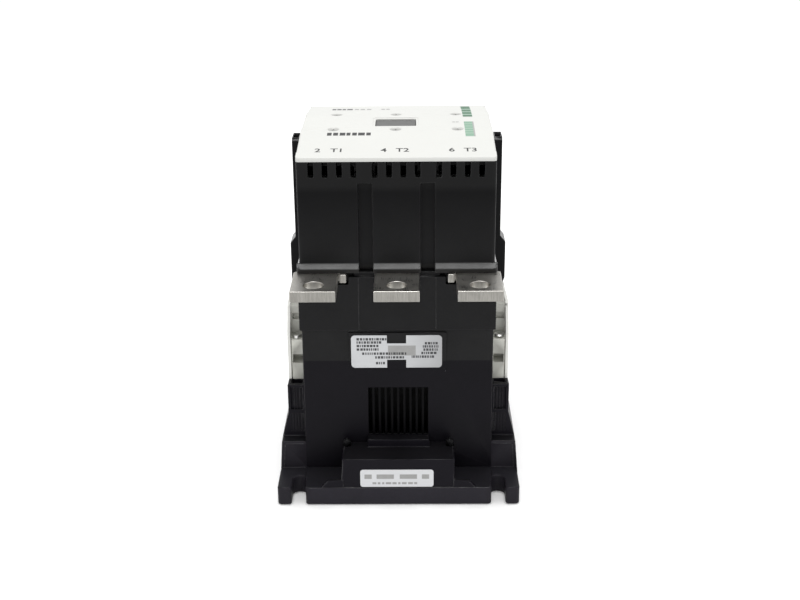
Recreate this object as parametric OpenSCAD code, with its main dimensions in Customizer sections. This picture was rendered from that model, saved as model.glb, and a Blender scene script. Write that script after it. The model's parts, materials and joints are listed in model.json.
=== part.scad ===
// Three-pole power contactor on its mounting base.
// +X is the width, -Y is the load side, +Z points away from the mounting plate.
// The origin is the centre of the base's underside. Sizes are millimetres.

/* [Base] */
// Width of the mounting base
base_w = 140.8; // [139.4:0.2:144]
// Length of the mounting base, from load side to line side
base_l = 180; // [179:0.5:188]
// Thickness of the foot plate
plate_z = 11; // [9:0.5:12]
// Width of the open mounting slots
slot_w = 8.3; // [6.4:0.1:9]
// Depth of the mounting slots from the plate's end
slot_depth = 14.7; // [12:0.1:18]
// Spacing of the mounting slots across the base
slot_pitch = 116.4; // [112:0.2:120]
// Height of the base's side walls
wall_z = 28.6; // [26:0.2:30]
// Height of the columns under the auxiliary modules
column_z = 62; // [56:0.5:62]

/* [Housing] */
// Width of the magnet housing
body_w = 109.8; // [109:0.1:110]
// Length of the magnet and contact housings
body_l = 131; // [130:0.5:132]
// Height of the seam between magnet housing and contact housing
seam_z = 99.7; // [99:0.1:100.5]
// Height of the contact housing's top deck
deck_z = 134.8; // [134:0.1:136]
// Width of the contact housing
deck_w = 112.4; // [112:0.1:113]
// Number of ventilation slots in the grille
grille_slots = 10; // [4:1:11]

/* [Arc chamber] */
// Length of the arc chamber and of the front cover
arc_l = 125; // [123:0.5:126]
// Height of the arc chamber's top
arc_z = 198.4; // [196:0.2:202]
// Distance between neighbouring poles
pole_pitch = 35.3; // [35.1:0.1:35.5]
// Width of a gas vent
vent_w = 3.1; // [2:0.1:4]
// Number of quenching plates in a stack
plates_per_stack = 8; // [4:1:9]

/* [Front cover] */
// Height of the cover's straight rim
rim_h = 2.1; // [1.5:0.1:4]
// Rise of the crowned top above the rim
crown_h = 5.5; // [4.5:0.1:6]
// Width of the position window
window_w = 23.8; // [22:0.2:25]
// Length of the position window
window_l = 17; // [15:0.5:17]

/* [Terminals] */
// Width of a terminal tab
tab_w = 25; // [24:0.5:25]
// Thickness of the terminal bars
tab_t = 6.2; // [5:0.1:6.5]
// Spacing of the terminal tabs
tab_pitch = 45.75; // [45.5:0.05:46]
// Distance that the tabs stand out past the base
tab_overhang = 4.45; // [2:0.05:8]
// Diameter of the terminal holes
tab_hole_d = 11; // [8.5:0.5:12]

/* [Motion] */
// Full travel of the contact carrier
travel = 7; // [6:0.5:7]
// Open gap between the main contacts
contact_gap = 5; // [4:0.25:5.5]

/* [Hidden] */
$fn = 48;

// Finishes
BLACK = "#1d1d20";
DARK = "#2b2b2e";
WHITE = "#f4f4f0";
LIGHT_GREY = "#b3b2a8";
GREY = "#6b6c6c";
TINNED = "#b9b5ac";
COPPER = "#b5703f";
CONTACT_SILVER = "#d5d3cc";
STEEL = "#8d9096";
ZINC = "#c3c3bd";
CREAM = "#d9cfb4";

// Shared allowances
wall = 3;
gap = 0.1;
cut = 1;
poles = [-1, 0, 1];

// Base
half_w = base_w / 2;
half_l = base_l / 2;
foot_r = 2.5;
slot_mouth_r = 2;
wall_draft = 1.2;
rim_out = 0.4;
rim_t = 1.7;
rim_w = 2;
seat_gap = 0.05;
column_half_w = 65.2;
column_half_l = 58.2;
column_foot_x = half_w - wall_draft;
column_knee_z = 44.4;
column_mid_x = 60;
pocket_y = 50.2;
bay_x = 21;
bay_y = 53;
bay_z = 4;
box_half_w = 32.5;
box_z = 28.5;
box_front_y = half_l - 0.6;
box_draft = 1;
rib_t = 2.6;
rib_profile = [[32, plate_z - 1], [44.7, plate_z - 1], [44.7, plate_z], [40.9, 15.3], [32, 15.7]];
tongue_half_w = 18;
tongue_l = 7.2;
tongue_z = box_z + 4.7;
pin_x = 30.3;
pin_y = 70.2;
pin_head_r = 2.4;
pin_shank_r = 1.45;
pin_head_h = 3;

// Housings
body_x = body_w / 2;
body_y = body_l / 2;
deck_x = deck_w / 2;
lean_z = 80.5;
lean = 1.2;
floor_z = seam_z + 3.3;
skirt_out = 0.03;
boss_r = 5;
boss_x = 47;
boss_y = 57;
screw_r = 2.2;
head_hole_r = 4.3;
boss_head_depth = 5;
bar_screw_depth = 13;
long_screw_depth = 18;
chamber_head_depth = 3;
grille_pitch = 3.6;
grille_w = 2;
grille_z = [33.6, 63.3];
plate_pad_half_w = 28;
plate_pad_z = [75.2, 98.4];
label_plane_y = body_y + 0.35;
plate_x = -0.65;
plate_w = 52.3;
plate_h = 20.3;
notch_w = 11;
notch_depth = 5;
label_x = -0.85;
label_mid_z = 16.9;
label_w = 42.4;
label_h = 10.8;
recess_x = 21.9;
recess_depth = 0.35;
pocket_x = [27.4, 33.25];
pocket_depth = 4;
pocket_low_z = deck_z - 7;
pocket_high_z = deck_z - 2.4;
pocket_high_x = 24.2;

// Poles and terminals
tab_end_y = half_l + tab_overhang;
tab_hole_y = tab_end_y - 10;
bar_z = deck_z - tab_t;
bar_half_w = 12;
bar_inner_y = 24;
bar_bed_y = 38;
shoulder_y = 68.5;
shoulder_x = [28.6, 32.2];
shoulder_low = 1.3;
bar_screw_y = 46;
tip_y = 30;
tip_t = 2;
tip_top_z = deck_z + tip_t;
partition_half = 2;
partition_x = pole_pitch / 2 - 0.3;

// Arc chamber
arc_x = body_x + 0.25;
arc_y = arc_l / 2;
arc_r = 2;
roof_t = 4;
roof_z = arc_z - roof_t;
band_half_w = 3.95;
band_depth = 3.5;
band_top_z = arc_z - 12.4;
vent_pitch = 7.85;
vent_depth = 6;
vent_sill_z = arc_z - 9.2;
vent_inner_z = arc_z - 6.9;
flange_out = 3.5;
flange_side_out = 1.4;
flange_r = 3;
flange_z = deck_z + 2.3;
ledge_z = deck_z + 4.7;
long_screw_y = 55.5;
stack_y = [37, 58];
stack_z = 150;
stack_pitch = 4.6;
sheet_t = 1.5;

// Front cover
rim_z = arc_z + rim_h;
top_z = rim_z + crown_h;
crown_r = (pow(arc_y, 2) + pow(crown_h, 2)) / (2 * crown_h);
skin = 2.5;
window_x = -0.7;
window_y = -2.4;
cover_screw_x = 35.8;
cover_screw_y = 18.1;
cover_screw_r = 3.3;
cover_screw_sink = 0.4;

// Contact carrier and what it moves
bridge_t = 4;
bridge_y = 36;
bridge_z = tip_top_z + contact_gap + gap + tip_t;
sill_z = bridge_z - 0.05;
spring_room = 16;
window_top_z = bridge_z + bridge_t + spring_room;
post_half_w = 11;
post_half_l = 9;
post_z = window_top_z + 4;
carrier_x = 46;
carrier_y = 14;
carrier_z = [95.1, 112];
lug_x = 20.3;
lug_t = 4.5;
lug_z = 80;
arm_x = 60.2;
arm_y = 2.5;
arm_z = [110, 114];
arm_side_gap = 0.7;
arm_end_gap = 0.8;
arm_way_z = [arm_z[0] - travel - arm_end_gap, arm_z[1] + arm_end_gap];
stem_z = 182;
indicator_top_z = top_z - 1;
indicator_t = 2;

// Magnet
stack_half = 20;
core_half_l = 52;
leg_inner_y = 38;
centre_leg_y = 13;
core_z = 7;
core_back_t = 15;
core_face_z = 62;
armature_face_z = core_face_z + travel + gap;
armature_leg = 12;
armature_top_z = carrier_z[0];
pin_z = 88;
pin_r = 3;
coil_z = [24, 60];
coil_flange_t = 3;
return_spring_x = 32;

// Side modules
aux_in_low = body_x + 0.3;
aux_in_high = deck_x + 0.2;
aux_block_x = 62.6;
aux_skin_x = 63.2;
aux_out = 65;
aux_y = 49.85;
aux_step_y = 41.6;
aux_step_z = 87.2;
aux_top_z = 106;
aux_ear_top = [
    [-aux_y, 90.5], [-42.6, 104.6], [-41.4, 106.6], [-39, 107.5], [-31, 107.1], [-18, 105.8], [-9, 105]
];
aux_window_z = [72.4, 78];
aux_window_depth = 9;
aux_ear_low = 104.6;
aux_mark_z = [97, 101];
aux_channel = [57.9, 60.5];
aux_channel_y = 24;
aux_screw_x = 59.6;
aux_screw_y = 45.6;
aux_strip_z = 80.4;
aux_tip_y = 19;
aux_tip_z = aux_strip_z + 1.5;
aux_bridge_z = aux_tip_z + travel + gap + 0.6;
tower_in = deck_x + 0.6;
tower_out = 61.8;
tower_y = 7.8;
tower_top_z = arc_z - 0.7;
tower_step_z = 137;
rod = [58.1, 60.3];
rod_y = 4.5;
rod_z = [72, 194];

// Coil terminals on the line side
block_half_w = 20;
block_y = [body_y + 0.1, 76];
block_z = [70, 92];
block_clamp_x = 10;
block_screw_y = 71.4;
strip_z = 74.5;

// ---------- building blocks ----------

// A box given by its low and high coordinates
module slab(x0, x1, y0, y1, z0, z1) {
    translate([x0, y0, z0]) cube([x1 - x0, y1 - y0, z1 - z0]);
}

// A box centred on the origin in X and Y
module centred_slab(half_x, half_y, z0, z1) {
    slab(-half_x, half_x, -half_y, half_y, z0, z1);
}

// A rectangle with true arcs at its corners
module rounded_rect(w, l, r) {
    square([w - 2 * r, l], center = true);
    square([w, l - 2 * r], center = true);
    for (x = [-1, 1], y = [-1, 1])
        translate([x * (w / 2 - r), y * (l / 2 - r)])
            circle(r);
}

module rounded_slab(w, l, r, z0, z1) {
    translate([0, 0, z0]) linear_extrude(z1 - z0) rounded_rect(w, l, r);
}

// An outline in Y and Z, drawn out along X
module along_x(half_x) {
    rotate([90, 0, 90]) linear_extrude(2 * half_x, center = true) children();
}

// An outline in X and Z, drawn out along Y
module along_y(half_y) {
    rotate([90, 0, 0]) linear_extrude(2 * half_y, center = true) children();
}

module post(x, y, r, z0, z1) {
    translate([x, y, z0]) cylinder(r = r, h = z1 - z0);
}

// The same shape at the load side and at the line side
module both_ends() {
    children();
    mirror([0, 1, 0]) children();
}

// The same shape at the left and at the right
module both_sides() {
    children();
    mirror([1, 0, 0]) children();
}

module four_corners() {
    both_sides() both_ends() children();
}

// A slotted cheese-head screw, head up
module slotted_screw(x, y, head_r, head_h, shank_r, z_head, z_tip, slot_turn = 0) {
    translate([x, y, 0]) difference() {
        union() {
            post(0, 0, head_r, z_head, z_head + head_h);
            post(0, 0, shank_r, z_tip, z_head + head_h * 0.3);
        }
        translate([0, 0, z_head + head_h * 0.5]) rotate(slot_turn)
            centred_slab(head_r + cut, head_r * 0.14, 0, head_h);
    }
}

// A cross-recessed screw, head up
module cross_screw(x, y, head_r, head_h, shank_r, z_head, z_tip) {
    translate([x, y, 0]) difference() {
        union() {
            post(0, 0, head_r, z_head, z_head + head_h);
            post(0, 0, shank_r, z_tip, z_head + head_h * 0.3);
        }
        for (turn = [0, 90])
            rotate(turn)
                centred_slab(head_r * 0.6, head_r * 0.13, z_head + head_h * 0.4, z_head + head_h + cut);
    }
}

// Points of a ring of the coil spring's wire, at the given turn angle
function wire_ring(mean_r, wire_r, angle, z, sides) = [
    for (i = [0 : sides - 1])
        let (a = 360 * i / sides, r = mean_r + wire_r * cos(a))
        [r * cos(angle), r * sin(angle), z + wire_r * sin(a)]
];

// A coil spring with flat end turns, between z0 and z1
module coil_spring(mean_r, wire_r, turns, z0, z1) {
    steps_per_turn = 14;
    sides = 6;
    closed_turns = 0.75;
    pitch_gain = (z1 - z0 - 2 * wire_r - 4 * wire_r * closed_turns) / (turns - 2 * closed_turns);
    steps = turns * steps_per_turn;
    function rise(t) = t < closed_turns ? 2 * wire_r * t
        : t > turns - closed_turns ? z1 - z0 - 2 * wire_r - 2 * wire_r * (turns - t)
        : 2 * wire_r * closed_turns + pitch_gain * (t - closed_turns);
    points = [
        for (s = [0 : steps])
            each wire_ring(mean_r, wire_r, 360 * s / steps_per_turn,
                z0 + wire_r + rise(s / steps_per_turn), sides)
    ];
    walls = [
        for (s = [0 : steps - 1], i = [0 : sides - 1])
            [s * sides + i, s * sides + (i + 1) % sides,
             (s + 1) * sides + (i + 1) % sides, (s + 1) * sides + i]
    ];
    start = [[for (i = [sides - 1 : -1 : 0]) i]];
    finish = [[for (i = [0 : sides - 1]) steps * sides + i]];
    polyhedron(points, concat(walls, start, finish));
}

// ---------- base ----------

module foot_slot() {
    r = slot_w / 2;
    inner_y = half_l - slot_depth + r;
    mouth = r + slot_mouth_r;
    translate([slot_pitch / 2, 0, -cut]) linear_extrude(plate_z + 2 * cut) {
        translate([-r, -half_l - cut]) square([2 * r, half_l + cut - inner_y]);
        translate([0, -inner_y]) circle(r);
        // Rounded corners of the slot's mouth
        difference() {
            translate([-mouth, -half_l - cut]) square([2 * mouth, slot_mouth_r + cut]);
            for (side = [-1, 1])
                translate([side * mouth, -half_l + slot_mouth_r]) circle(slot_mouth_r);
        }
    }
}

// Side wall with the hollow column that carries an auxiliary module
module side_wall() {
    inner_x = body_x + seat_gap;
    along_y(body_y)
        polygon([
            [inner_x, plate_z - cut], [half_w, plate_z - cut], [half_w, plate_z],
            [column_foot_x, wall_z], [inner_x, wall_z]
        ]);
    // Raised rim along the top and outer edges of the wall's ends
    along_y(body_y + rim_out)
        polygon([
            [half_w, plate_z], [column_foot_x, wall_z], [inner_x, wall_z], [inner_x, wall_z - rim_t],
            [column_foot_x - rim_w, wall_z - rim_t], [half_w - rim_w, plate_z]
        ]);
    along_y(column_half_l)
        polygon([
            [inner_x, wall_z - cut], [column_foot_x, wall_z - cut], [column_foot_x, wall_z],
            [column_half_w, column_knee_z], [column_half_w, column_z], [inner_x, column_z]
        ]);
}

module column_pockets() {
    panel_depth = 1.8;
    panel_pitch = 18;
    rib_pitch = 1.7;
    both_ends() {
        slab(body_x + 1.6, column_half_w - 2.2, -column_half_l + 3.4, -pocket_y,
            column_knee_z, column_z + cut);
        // Framed panel with upright ribs in the column's end, and fine ribs below it
        difference() {
            slab(body_x + 1.6, column_half_w - 1.5, -column_half_l - cut, -column_half_l + panel_depth,
                column_knee_z + 1.4, column_z - 1.6);
            for (i = [-1 : 1])
                slab(column_mid_x + i * rib_pitch - 0.3, column_mid_x + i * rib_pitch + 0.3,
                    -column_half_l + panel_depth - 0.6, -column_half_l + panel_depth + cut,
                    column_knee_z, column_z);
        }
        for (i = [-2 : 2])
            slab(column_mid_x + i * rib_pitch - 0.4, column_mid_x + i * rib_pitch + 0.4,
                -column_half_l - cut, -column_half_l + 0.5, wall_z + 3, column_knee_z - 1);
    }
    for (i = [-2.5 : 2.5])
        slab(column_half_w - 1.2, half_w, i * panel_pitch - 7, i * panel_pitch + 7,
            column_knee_z + 2, column_z - 3);
}

module wall_panels() {
    panel_pitch = 20;
    for (i = [-2.5 : 2.5])
        slab(column_foot_x - 1, half_w + cut, i * panel_pitch - 8, i * panel_pitch + 8,
            plate_z + 3, wall_z - 3.5);
}

module label_box() {
    along_x(box_half_w)
        polygon([
            [-box_front_y, plate_z], [-body_y - gap, plate_z],
            [-body_y - gap, box_z], [-box_front_y + box_draft, box_z]
        ]);
    slab(-tongue_half_w, tongue_half_w, -body_y - tongue_l, -body_y - gap, box_z - cut, tongue_z);
    both_sides() translate([0, -half_l + rib_t / 2 + 0.3, 0]) along_y(rib_t / 2) polygon(rib_profile);
}

module base_housing() {
    color(BLACK) difference() {
        union() {
            rounded_slab(base_w, base_l, foot_r, 0, plate_z);
            both_sides() side_wall();
            both_ends() label_box();
        }
        four_corners() foot_slot();
        both_sides() column_pockets();
        both_sides() wall_panels();
        centred_slab(bay_x, bay_y, bay_z, plate_z + cut);
        four_corners() post(boss_x, -boss_y, screw_r, bay_z, plate_z + cut);
        four_corners() post(pin_x, -pin_y, pin_shank_r + seat_gap, box_z - 8, box_z + cut);
    }
}

// Round-headed pins that lock the magnet housing's skirt to the base
module latch_pins() {
    color(DARK) four_corners() {
        post(pin_x, -pin_y, pin_shank_r, box_z - 7.9, box_z);
        post(pin_x, -pin_y, pin_head_r, box_z, box_z + pin_head_h);
        translate([pin_x, -pin_y, box_z + pin_head_h])
            rotate_extrude()
                intersection() {
                    translate([0, -1.4]) circle(sqrt(pow(pin_head_r, 2) + pow(1.4, 2)));
                    square([pin_head_r, 2]);
                }
    }
}

// ---------- housings ----------

module grille() {
    for (i = [0 : grille_slots - 1]) {
        x = (i - (grille_slots - 1) / 2) * grille_pitch;
        slab(x - grille_w / 2, x + grille_w / 2, -body_y - cut, -body_y + wall + 2 * cut,
            grille_z[0], grille_z[1]);
    }
}

module magnet_housing() {
    color(BLACK) difference() {
        union() {
            difference() {
                union() {
                    along_x(body_x)
                        polygon([
                            [-body_y, plate_z], [body_y, plate_z], [body_y, lean_z],
                            [body_y - lean, seam_z], [-body_y + lean, seam_z], [-body_y, lean_z]
                        ]);
                    centred_slab(body_x + skirt_out, body_y, plate_z, wall_z);
                }
                centred_slab(body_x - wall, body_y - wall - lean, plate_z - cut, seam_z + cut);
            }
            four_corners() slab(boss_x - boss_r, body_x - wall, -body_y + wall, -boss_y + boss_r,
                plate_z, seam_z);
            slab(-plate_pad_half_w, plate_pad_half_w, -label_plane_y, -body_y + wall,
                plate_pad_z[0], plate_pad_z[1]);
        }
        both_ends() grille();
        four_corners() post(boss_x, -boss_y, screw_r, plate_z - cut, seam_z + cut);
        both_sides() slab(block_clamp_x - 2.6, block_clamp_x + 2.6, body_y - wall - 2 * lean, body_y + cut,
            strip_z - 0.5, strip_z + 2.5);
    }
}

// Outline of an outer terminal bar seen from above, load side, right-hand pole
module outer_bar_outline() {
    tab_in = tab_pitch - tab_w / 2;
    tab_out = tab_pitch + tab_w / 2;
    knee_y = -body_y + 11.5;
    polygon([
        [tab_in, -tab_end_y], [tab_out, -tab_end_y], [tab_out, -body_y + 1.5],
        [pole_pitch + bar_half_w, knee_y], [pole_pitch + bar_half_w, -bar_inner_y],
        [pole_pitch - bar_half_w, -bar_inner_y], [pole_pitch - bar_half_w, knee_y],
        [shoulder_x[0], -body_y + 7], [shoulder_x[0], -shoulder_y], [shoulder_x[1], -shoulder_y],
        [shoulder_x[1], -body_y + 3], [tab_in, -body_y + 3]
    ]);
}

module bar_outline(pole) {
    if (pole == 0) translate([-tab_w / 2, -tab_end_y]) square([tab_w, tab_end_y - bar_inner_y]);
    if (pole > 0) outer_bar_outline();
    if (pole < 0) mirror([1, 0]) outer_bar_outline();
}

module contact_housing() {
    inner_x = body_x - wall;
    color(BLACK) difference() {
        centred_slab(deck_x, body_y, seam_z, deck_z);
        // Contact chambers of the three poles
        centred_slab(partition_x - partition_half, bar_bed_y, floor_z, deck_z + cut);
        both_sides() slab(partition_x + partition_half, inner_x, -bar_bed_y, bar_bed_y,
            floor_z, deck_z + cut);
        // Passage for the contact carrier and its side arms
        centred_slab(carrier_x + 1.5, carrier_y + 1.5, seam_z - cut, carrier_z[1] + 2);
        both_sides() slab(inner_x - cut, deck_x + cut, -arm_y - arm_side_gap, arm_y + arm_side_gap,
            arm_way_z[0], arm_way_z[1]);
        // Beds of the terminal bars
        both_ends() for (pole = poles)
            translate([0, 0, bar_z]) linear_extrude(tab_t + cut) bar_outline(pole);
        both_ends() for (pole = poles)
            post(pole * pole_pitch, -bar_screw_y, screw_r, bar_z - bar_screw_depth, bar_z + cut);
        // Housing screws, their heads below the bars
        four_corners() {
            post(boss_x, -boss_y, screw_r, seam_z - cut, bar_z);
            post(boss_x, -boss_y, head_hole_r, bar_z - boss_head_depth, bar_z + cut);
            post(partition_x, -long_screw_y, screw_r, bar_z - long_screw_depth, deck_z + cut);
        }
        both_ends() {
            // The middle of the face lies a little deeper
            slab(-recess_x, recess_x, -body_y - cut, -body_y + recess_depth, seam_z - cut, deck_z + cut);
            // Pockets around the shoulders of the outer bars, and the groove beside the middle bar
            both_sides() {
                slab(pocket_x[0], pocket_x[1], -body_y - cut, -body_y + pocket_depth,
                    pocket_low_z, deck_z + cut);
                slab(pocket_high_x, pocket_x[1], -body_y - cut, -body_y + pocket_depth,
                    pocket_high_z, deck_z + cut);
                slab(tab_w / 2 + 0.2, pocket_high_x + cut, -body_y - cut, -body_y + pocket_depth / 2,
                    pocket_high_z, deck_z + cut);
            }
        }
    }
}

// ---------- arc chamber ----------

module flange_profile(base_at, out) {
    polygon([
        [base_at - cut, deck_z], [base_at + out, deck_z], [base_at + out, flange_z],
        [base_at, ledge_z], [base_at - cut, ledge_z]
    ]);
}

module arc_flange() {
    side_in = partition_x + band_half_w;
    side_half = (arc_x + flange_side_out - side_in) / 2;
    both_ends() mirror([0, 1, 0]) {
        along_x(partition_x - band_half_w) flange_profile(arc_y, flange_out);
        both_sides() translate([side_in + side_half, 0, 0])
            along_x(side_half) flange_profile(arc_y, flange_out);
    }
    both_sides() along_y(arc_y) flange_profile(arc_x, flange_side_out);
}

module gas_vents() {
    for (pole = poles, i = [-1.5 : 1.5])
        translate([pole * pole_pitch + i * vent_pitch, 0, 0])
            along_x(vent_w / 2)
                polygon([
                    [-arc_y - cut, vent_sill_z - 0.4], [-arc_y - cut, arc_z + cut],
                    [-arc_y + vent_depth, arc_z + cut], [-arc_y + vent_depth, vent_inner_z]
                ]);
}

module arc_chamber() {
    boss_half_w = 5.8;
    boss_l = 11.5;
    color(BLACK) difference() {
        union() {
            difference() {
                rounded_slab(2 * arc_x, arc_l, arc_r, deck_z, arc_z);
                centred_slab(partition_x - partition_half, arc_y - wall, deck_z - cut, roof_z);
                both_sides() slab(partition_x + partition_half, arc_x - wall,
                    -arc_y + wall, arc_y - wall, deck_z - cut, roof_z);
            }
            four_corners() slab(partition_x - boss_half_w, partition_x + boss_half_w,
                -arc_y + 1, -arc_y + boss_l, deck_z, arc_z);
            intersection() {
                arc_flange();
                rounded_slab(2 * (arc_x + flange_side_out), 2 * (arc_y + flange_out), flange_r,
                    deck_z, arc_z);
            }
        }
        // Bands between the poles
        four_corners() slab(partition_x - band_half_w, partition_x + band_half_w,
            -arc_y - flange_out - cut, -arc_y + band_depth, deck_z - cut, band_top_z);
        both_ends() gas_vents();
        // Way out for the position indicator
        at_window() centred_slab(window_w / 2 + 0.9, window_l / 2 + 0.7, roof_z - cut, arc_z + cut);
        four_corners() {
            post(partition_x, -long_screw_y, screw_r, deck_z - cut, arc_z + cut);
            post(partition_x, -long_screw_y, head_hole_r, arc_z - chamber_head_depth, arc_z + cut);
        }
        cover_screw_places() post(0, 0, 1.3, roof_z - cut, arc_z + cut);
    }
}

// One steel quenching plate with a notch towards the contacts
module quenching_plate(half_w) {
    notch = 4;
    linear_extrude(sheet_t)
        polygon([
            [-half_w, -stack_y[1]], [half_w, -stack_y[1]], [half_w, -stack_y[0]], [notch, -stack_y[0]],
            [1, -stack_y[0] - 9], [-1, -stack_y[0] - 9], [-notch, -stack_y[0]], [-half_w, -stack_y[0]]
        ]);
}

module quenching_stacks() {
    color(STEEL) for (pole = poles, i = [0 : plates_per_stack - 1])
        translate([pole * pole_pitch, 0, stack_z + i * stack_pitch])
            quenching_plate(pole == 0 ? 9 : 11.4);
}

module quenching_plates_load() quenching_stacks();
module quenching_plates_line() mirror([0, 1, 0]) quenching_stacks();

// ---------- front cover ----------

// Everything under a crown of the given radius
module under_crown(r) {
    translate([0, 0, top_z - crown_r])
        rotate([0, 90, 0])
            cylinder(r = r, h = 2 * arc_x + 10, center = true, $fn = 720);
}

module at_window() {
    translate([window_x, window_y, 0]) children();
}

module cover_screw_places() {
    for (x = [-1, 0, 1], y = [-1, 1])
        translate([window_x + x * cover_screw_x, y * cover_screw_y, 0])
            children();
}

function crown_z(y) = top_z - crown_r + sqrt(pow(crown_r, 2) - pow(y, 2));

module front_cover() {
    frame_half_w = window_w / 2 + 1.6;
    frame_half_l = window_l / 2 + 1.6;
    seat_z = crown_z(cover_screw_y) - cover_screw_sink;
    color(WHITE) difference() {
        intersection() {
            union() {
                difference() {
                    rounded_slab(2 * arc_x, arc_l, arc_r, arc_z, top_z);
                    intersection() {
                        centred_slab(arc_x - skin, arc_y - skin, arc_z - cut, top_z);
                        under_crown(crown_r - skin);
                    }
                }
                cover_screw_places() post(0, 0, cover_screw_r + 1.4, arc_z, top_z);
                at_window() centred_slab(frame_half_w, frame_half_l, arc_z, top_z);
            }
            under_crown(crown_r);
        }
        at_window() {
            centred_slab(window_w / 2, window_l / 2, arc_z - cut, top_z + cut);
            centred_slab(window_w / 2 + 1.4, window_l / 2 + 2.4, top_z - 0.4, top_z + cut);
        }
        cover_screw_places() {
            post(0, 0, cover_screw_r + 0.2, seat_z - 1, top_z + cut);
            post(0, 0, 1.6, arc_z - cut, top_z);
        }
    }
}

module cover_screws() {
    seat_z = crown_z(cover_screw_y) - cover_screw_sink - 1;
    color(GREY) cover_screw_places()
        cross_screw(0, 0, cover_screw_r, 1, 1.25, seat_z, roof_z + 0.3);
}

module position_indicator() {
    color(GREY) {
        at_window() centred_slab(window_w / 2 - 0.3, window_l / 2 - 0.3,
            indicator_top_z - indicator_t, indicator_top_z);
        centred_slab(5, 3.5, stem_z, indicator_top_z - indicator_t);
    }
}

// ---------- plates and labels ----------

// Type plate with a notch in its top and bottom edges
module type_plate() {
    color(CONTACT_SILVER) translate([plate_x, -label_plane_y, (plate_pad_z[0] + plate_pad_z[1]) / 2])
        rotate([90, 0, 0]) linear_extrude(0.5) difference() {
            rounded_rect(plate_w, plate_h, 2.3);
            for (side = [-1, 1])
                translate([0, side * plate_h / 2]) square([notch_w, 2 * notch_depth], center = true);
        }
}

module base_label() {
    tilt = atan(box_draft / (box_z - plate_z));
    mid = (label_mid_z - plate_z) / (box_z - plate_z);
    color(WHITE) translate([label_x, -box_front_y + box_draft * mid - 0.02, label_mid_z])
        rotate([90 - tilt, 0, 0]) linear_extrude(0.4) rounded_rect(label_w, label_h, 1.6);
}

// ---------- side modules ----------

// Right-hand auxiliary contact module
module aux_module() {
    color(LIGHT_GREY) difference() {
        union() {
            slab(aux_in_low, aux_skin_x, -aux_y, aux_y, column_z, aux_step_z);
            slab(aux_in_low, aux_skin_x, -aux_step_y, aux_step_y, aux_step_z, seam_z - 1);
            slab(aux_in_high, aux_skin_x, -aux_step_y, aux_step_y, aux_step_z, aux_top_z);
            // Outer skin, higher at its ends than under the tower
            both_ends() translate([(aux_skin_x + aux_out) / 2, 0, 0]) along_x((aux_out - aux_skin_x) / 2)
                polygon(concat([[cut, column_z], [-aux_y, column_z]], aux_ear_top, [[cut, aux_ear_low]]));
        }
        both_ends() {
            // Wire window, screw well, marking slot and the groove beside the outer skin
            slab(aux_in_low + 0.9, aux_block_x - 0.3, -aux_y - cut, -aux_y + aux_window_depth,
                aux_window_z[0], aux_window_z[1]);
            post(aux_screw_x, -aux_screw_y, 1.8, aux_window_z[1] - cut, aux_step_z + cut);
            slab(aux_in_high + 1, aux_block_x - 0.4, -aux_step_y - cut, -aux_step_y + 2.5,
                aux_mark_z[0], aux_mark_z[1]);
            slab(aux_block_x, aux_skin_x, -aux_y - cut, -aux_y + 2.5, column_z - cut, aux_step_z + cut);
        }
        // Channel of the link rod and the moving auxiliary contact, with room for the carrier's arm
        slab(aux_in_high - cut, aux_channel[0] + cut, -arm_y - arm_side_gap, arm_y + arm_side_gap,
            arm_way_z[0], aux_top_z + cut);
        slab(aux_channel[0], aux_channel[1], -rod_y - 0.3, rod_y + 0.3, column_z + 2, aux_top_z + cut);
        slab(aux_channel[0] - 0.6, aux_channel[1] + 0.6, -aux_channel_y, aux_channel_y, 68, 100);
        both_ends() slab(aux_channel[0] - 0.6, aux_channel[1] + 0.6, -aux_y + aux_window_depth - cut,
            -aux_channel_y + cut, aux_strip_z - 0.1, aux_strip_z + 1.1);
        both_ends() slab(aux_channel[0] - 0.6, aux_channel[1] + 0.6, -aux_y + 1.5,
            -aux_y + aux_window_depth + cut, aux_window_z[1] - cut, aux_strip_z + 1.1);
    }
}

module aux_module_left() mirror([1, 0, 0]) aux_module();
module aux_module_right() aux_module();

module aux_screws() {
    color(ZINC) both_ends()
        slotted_screw(aux_screw_x, -aux_screw_y, 2.9, 2.2, 1.7, aux_step_z, aux_window_z[1] - 0.9, 20);
}

module aux_screws_left() mirror([1, 0, 0]) aux_screws();
module aux_screws_right() aux_screws();

// Fixed auxiliary contacts: a flat strip from the clamp to the contact tip
module aux_contacts() {
    x0 = aux_channel[0] - 0.5;
    x1 = aux_channel[1] + 0.5;
    color(TINNED) both_ends() difference() {
        union() {
            slab(x0, x1, -aux_y + 2, -17, aux_strip_z, aux_strip_z + 1);
            post(aux_screw_x - 0.4, -aux_tip_y, 1.4, aux_strip_z + 1, aux_tip_z);
        }
        post(aux_screw_x, -aux_screw_y, 1.75, aux_strip_z - cut, aux_strip_z + 2);
    }
}

module aux_contacts_left() mirror([1, 0, 0]) aux_contacts();
module aux_contacts_right() aux_contacts();

// Moving auxiliary contact, carried by the link rod
module aux_bridge() {
    x_mid = (rod[0] + rod[1]) / 2;
    color(COPPER) {
        slab(x_mid - 0.9, x_mid + 0.9, -22, 22, aux_bridge_z, aux_bridge_z + 1);
        both_ends() post(x_mid, -aux_tip_y, 0.9, aux_bridge_z - 0.6, aux_bridge_z + 0.1);
    }
}

module aux_bridge_left() mirror([1, 0, 0]) aux_bridge();
module aux_bridge_right() aux_bridge();

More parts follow.
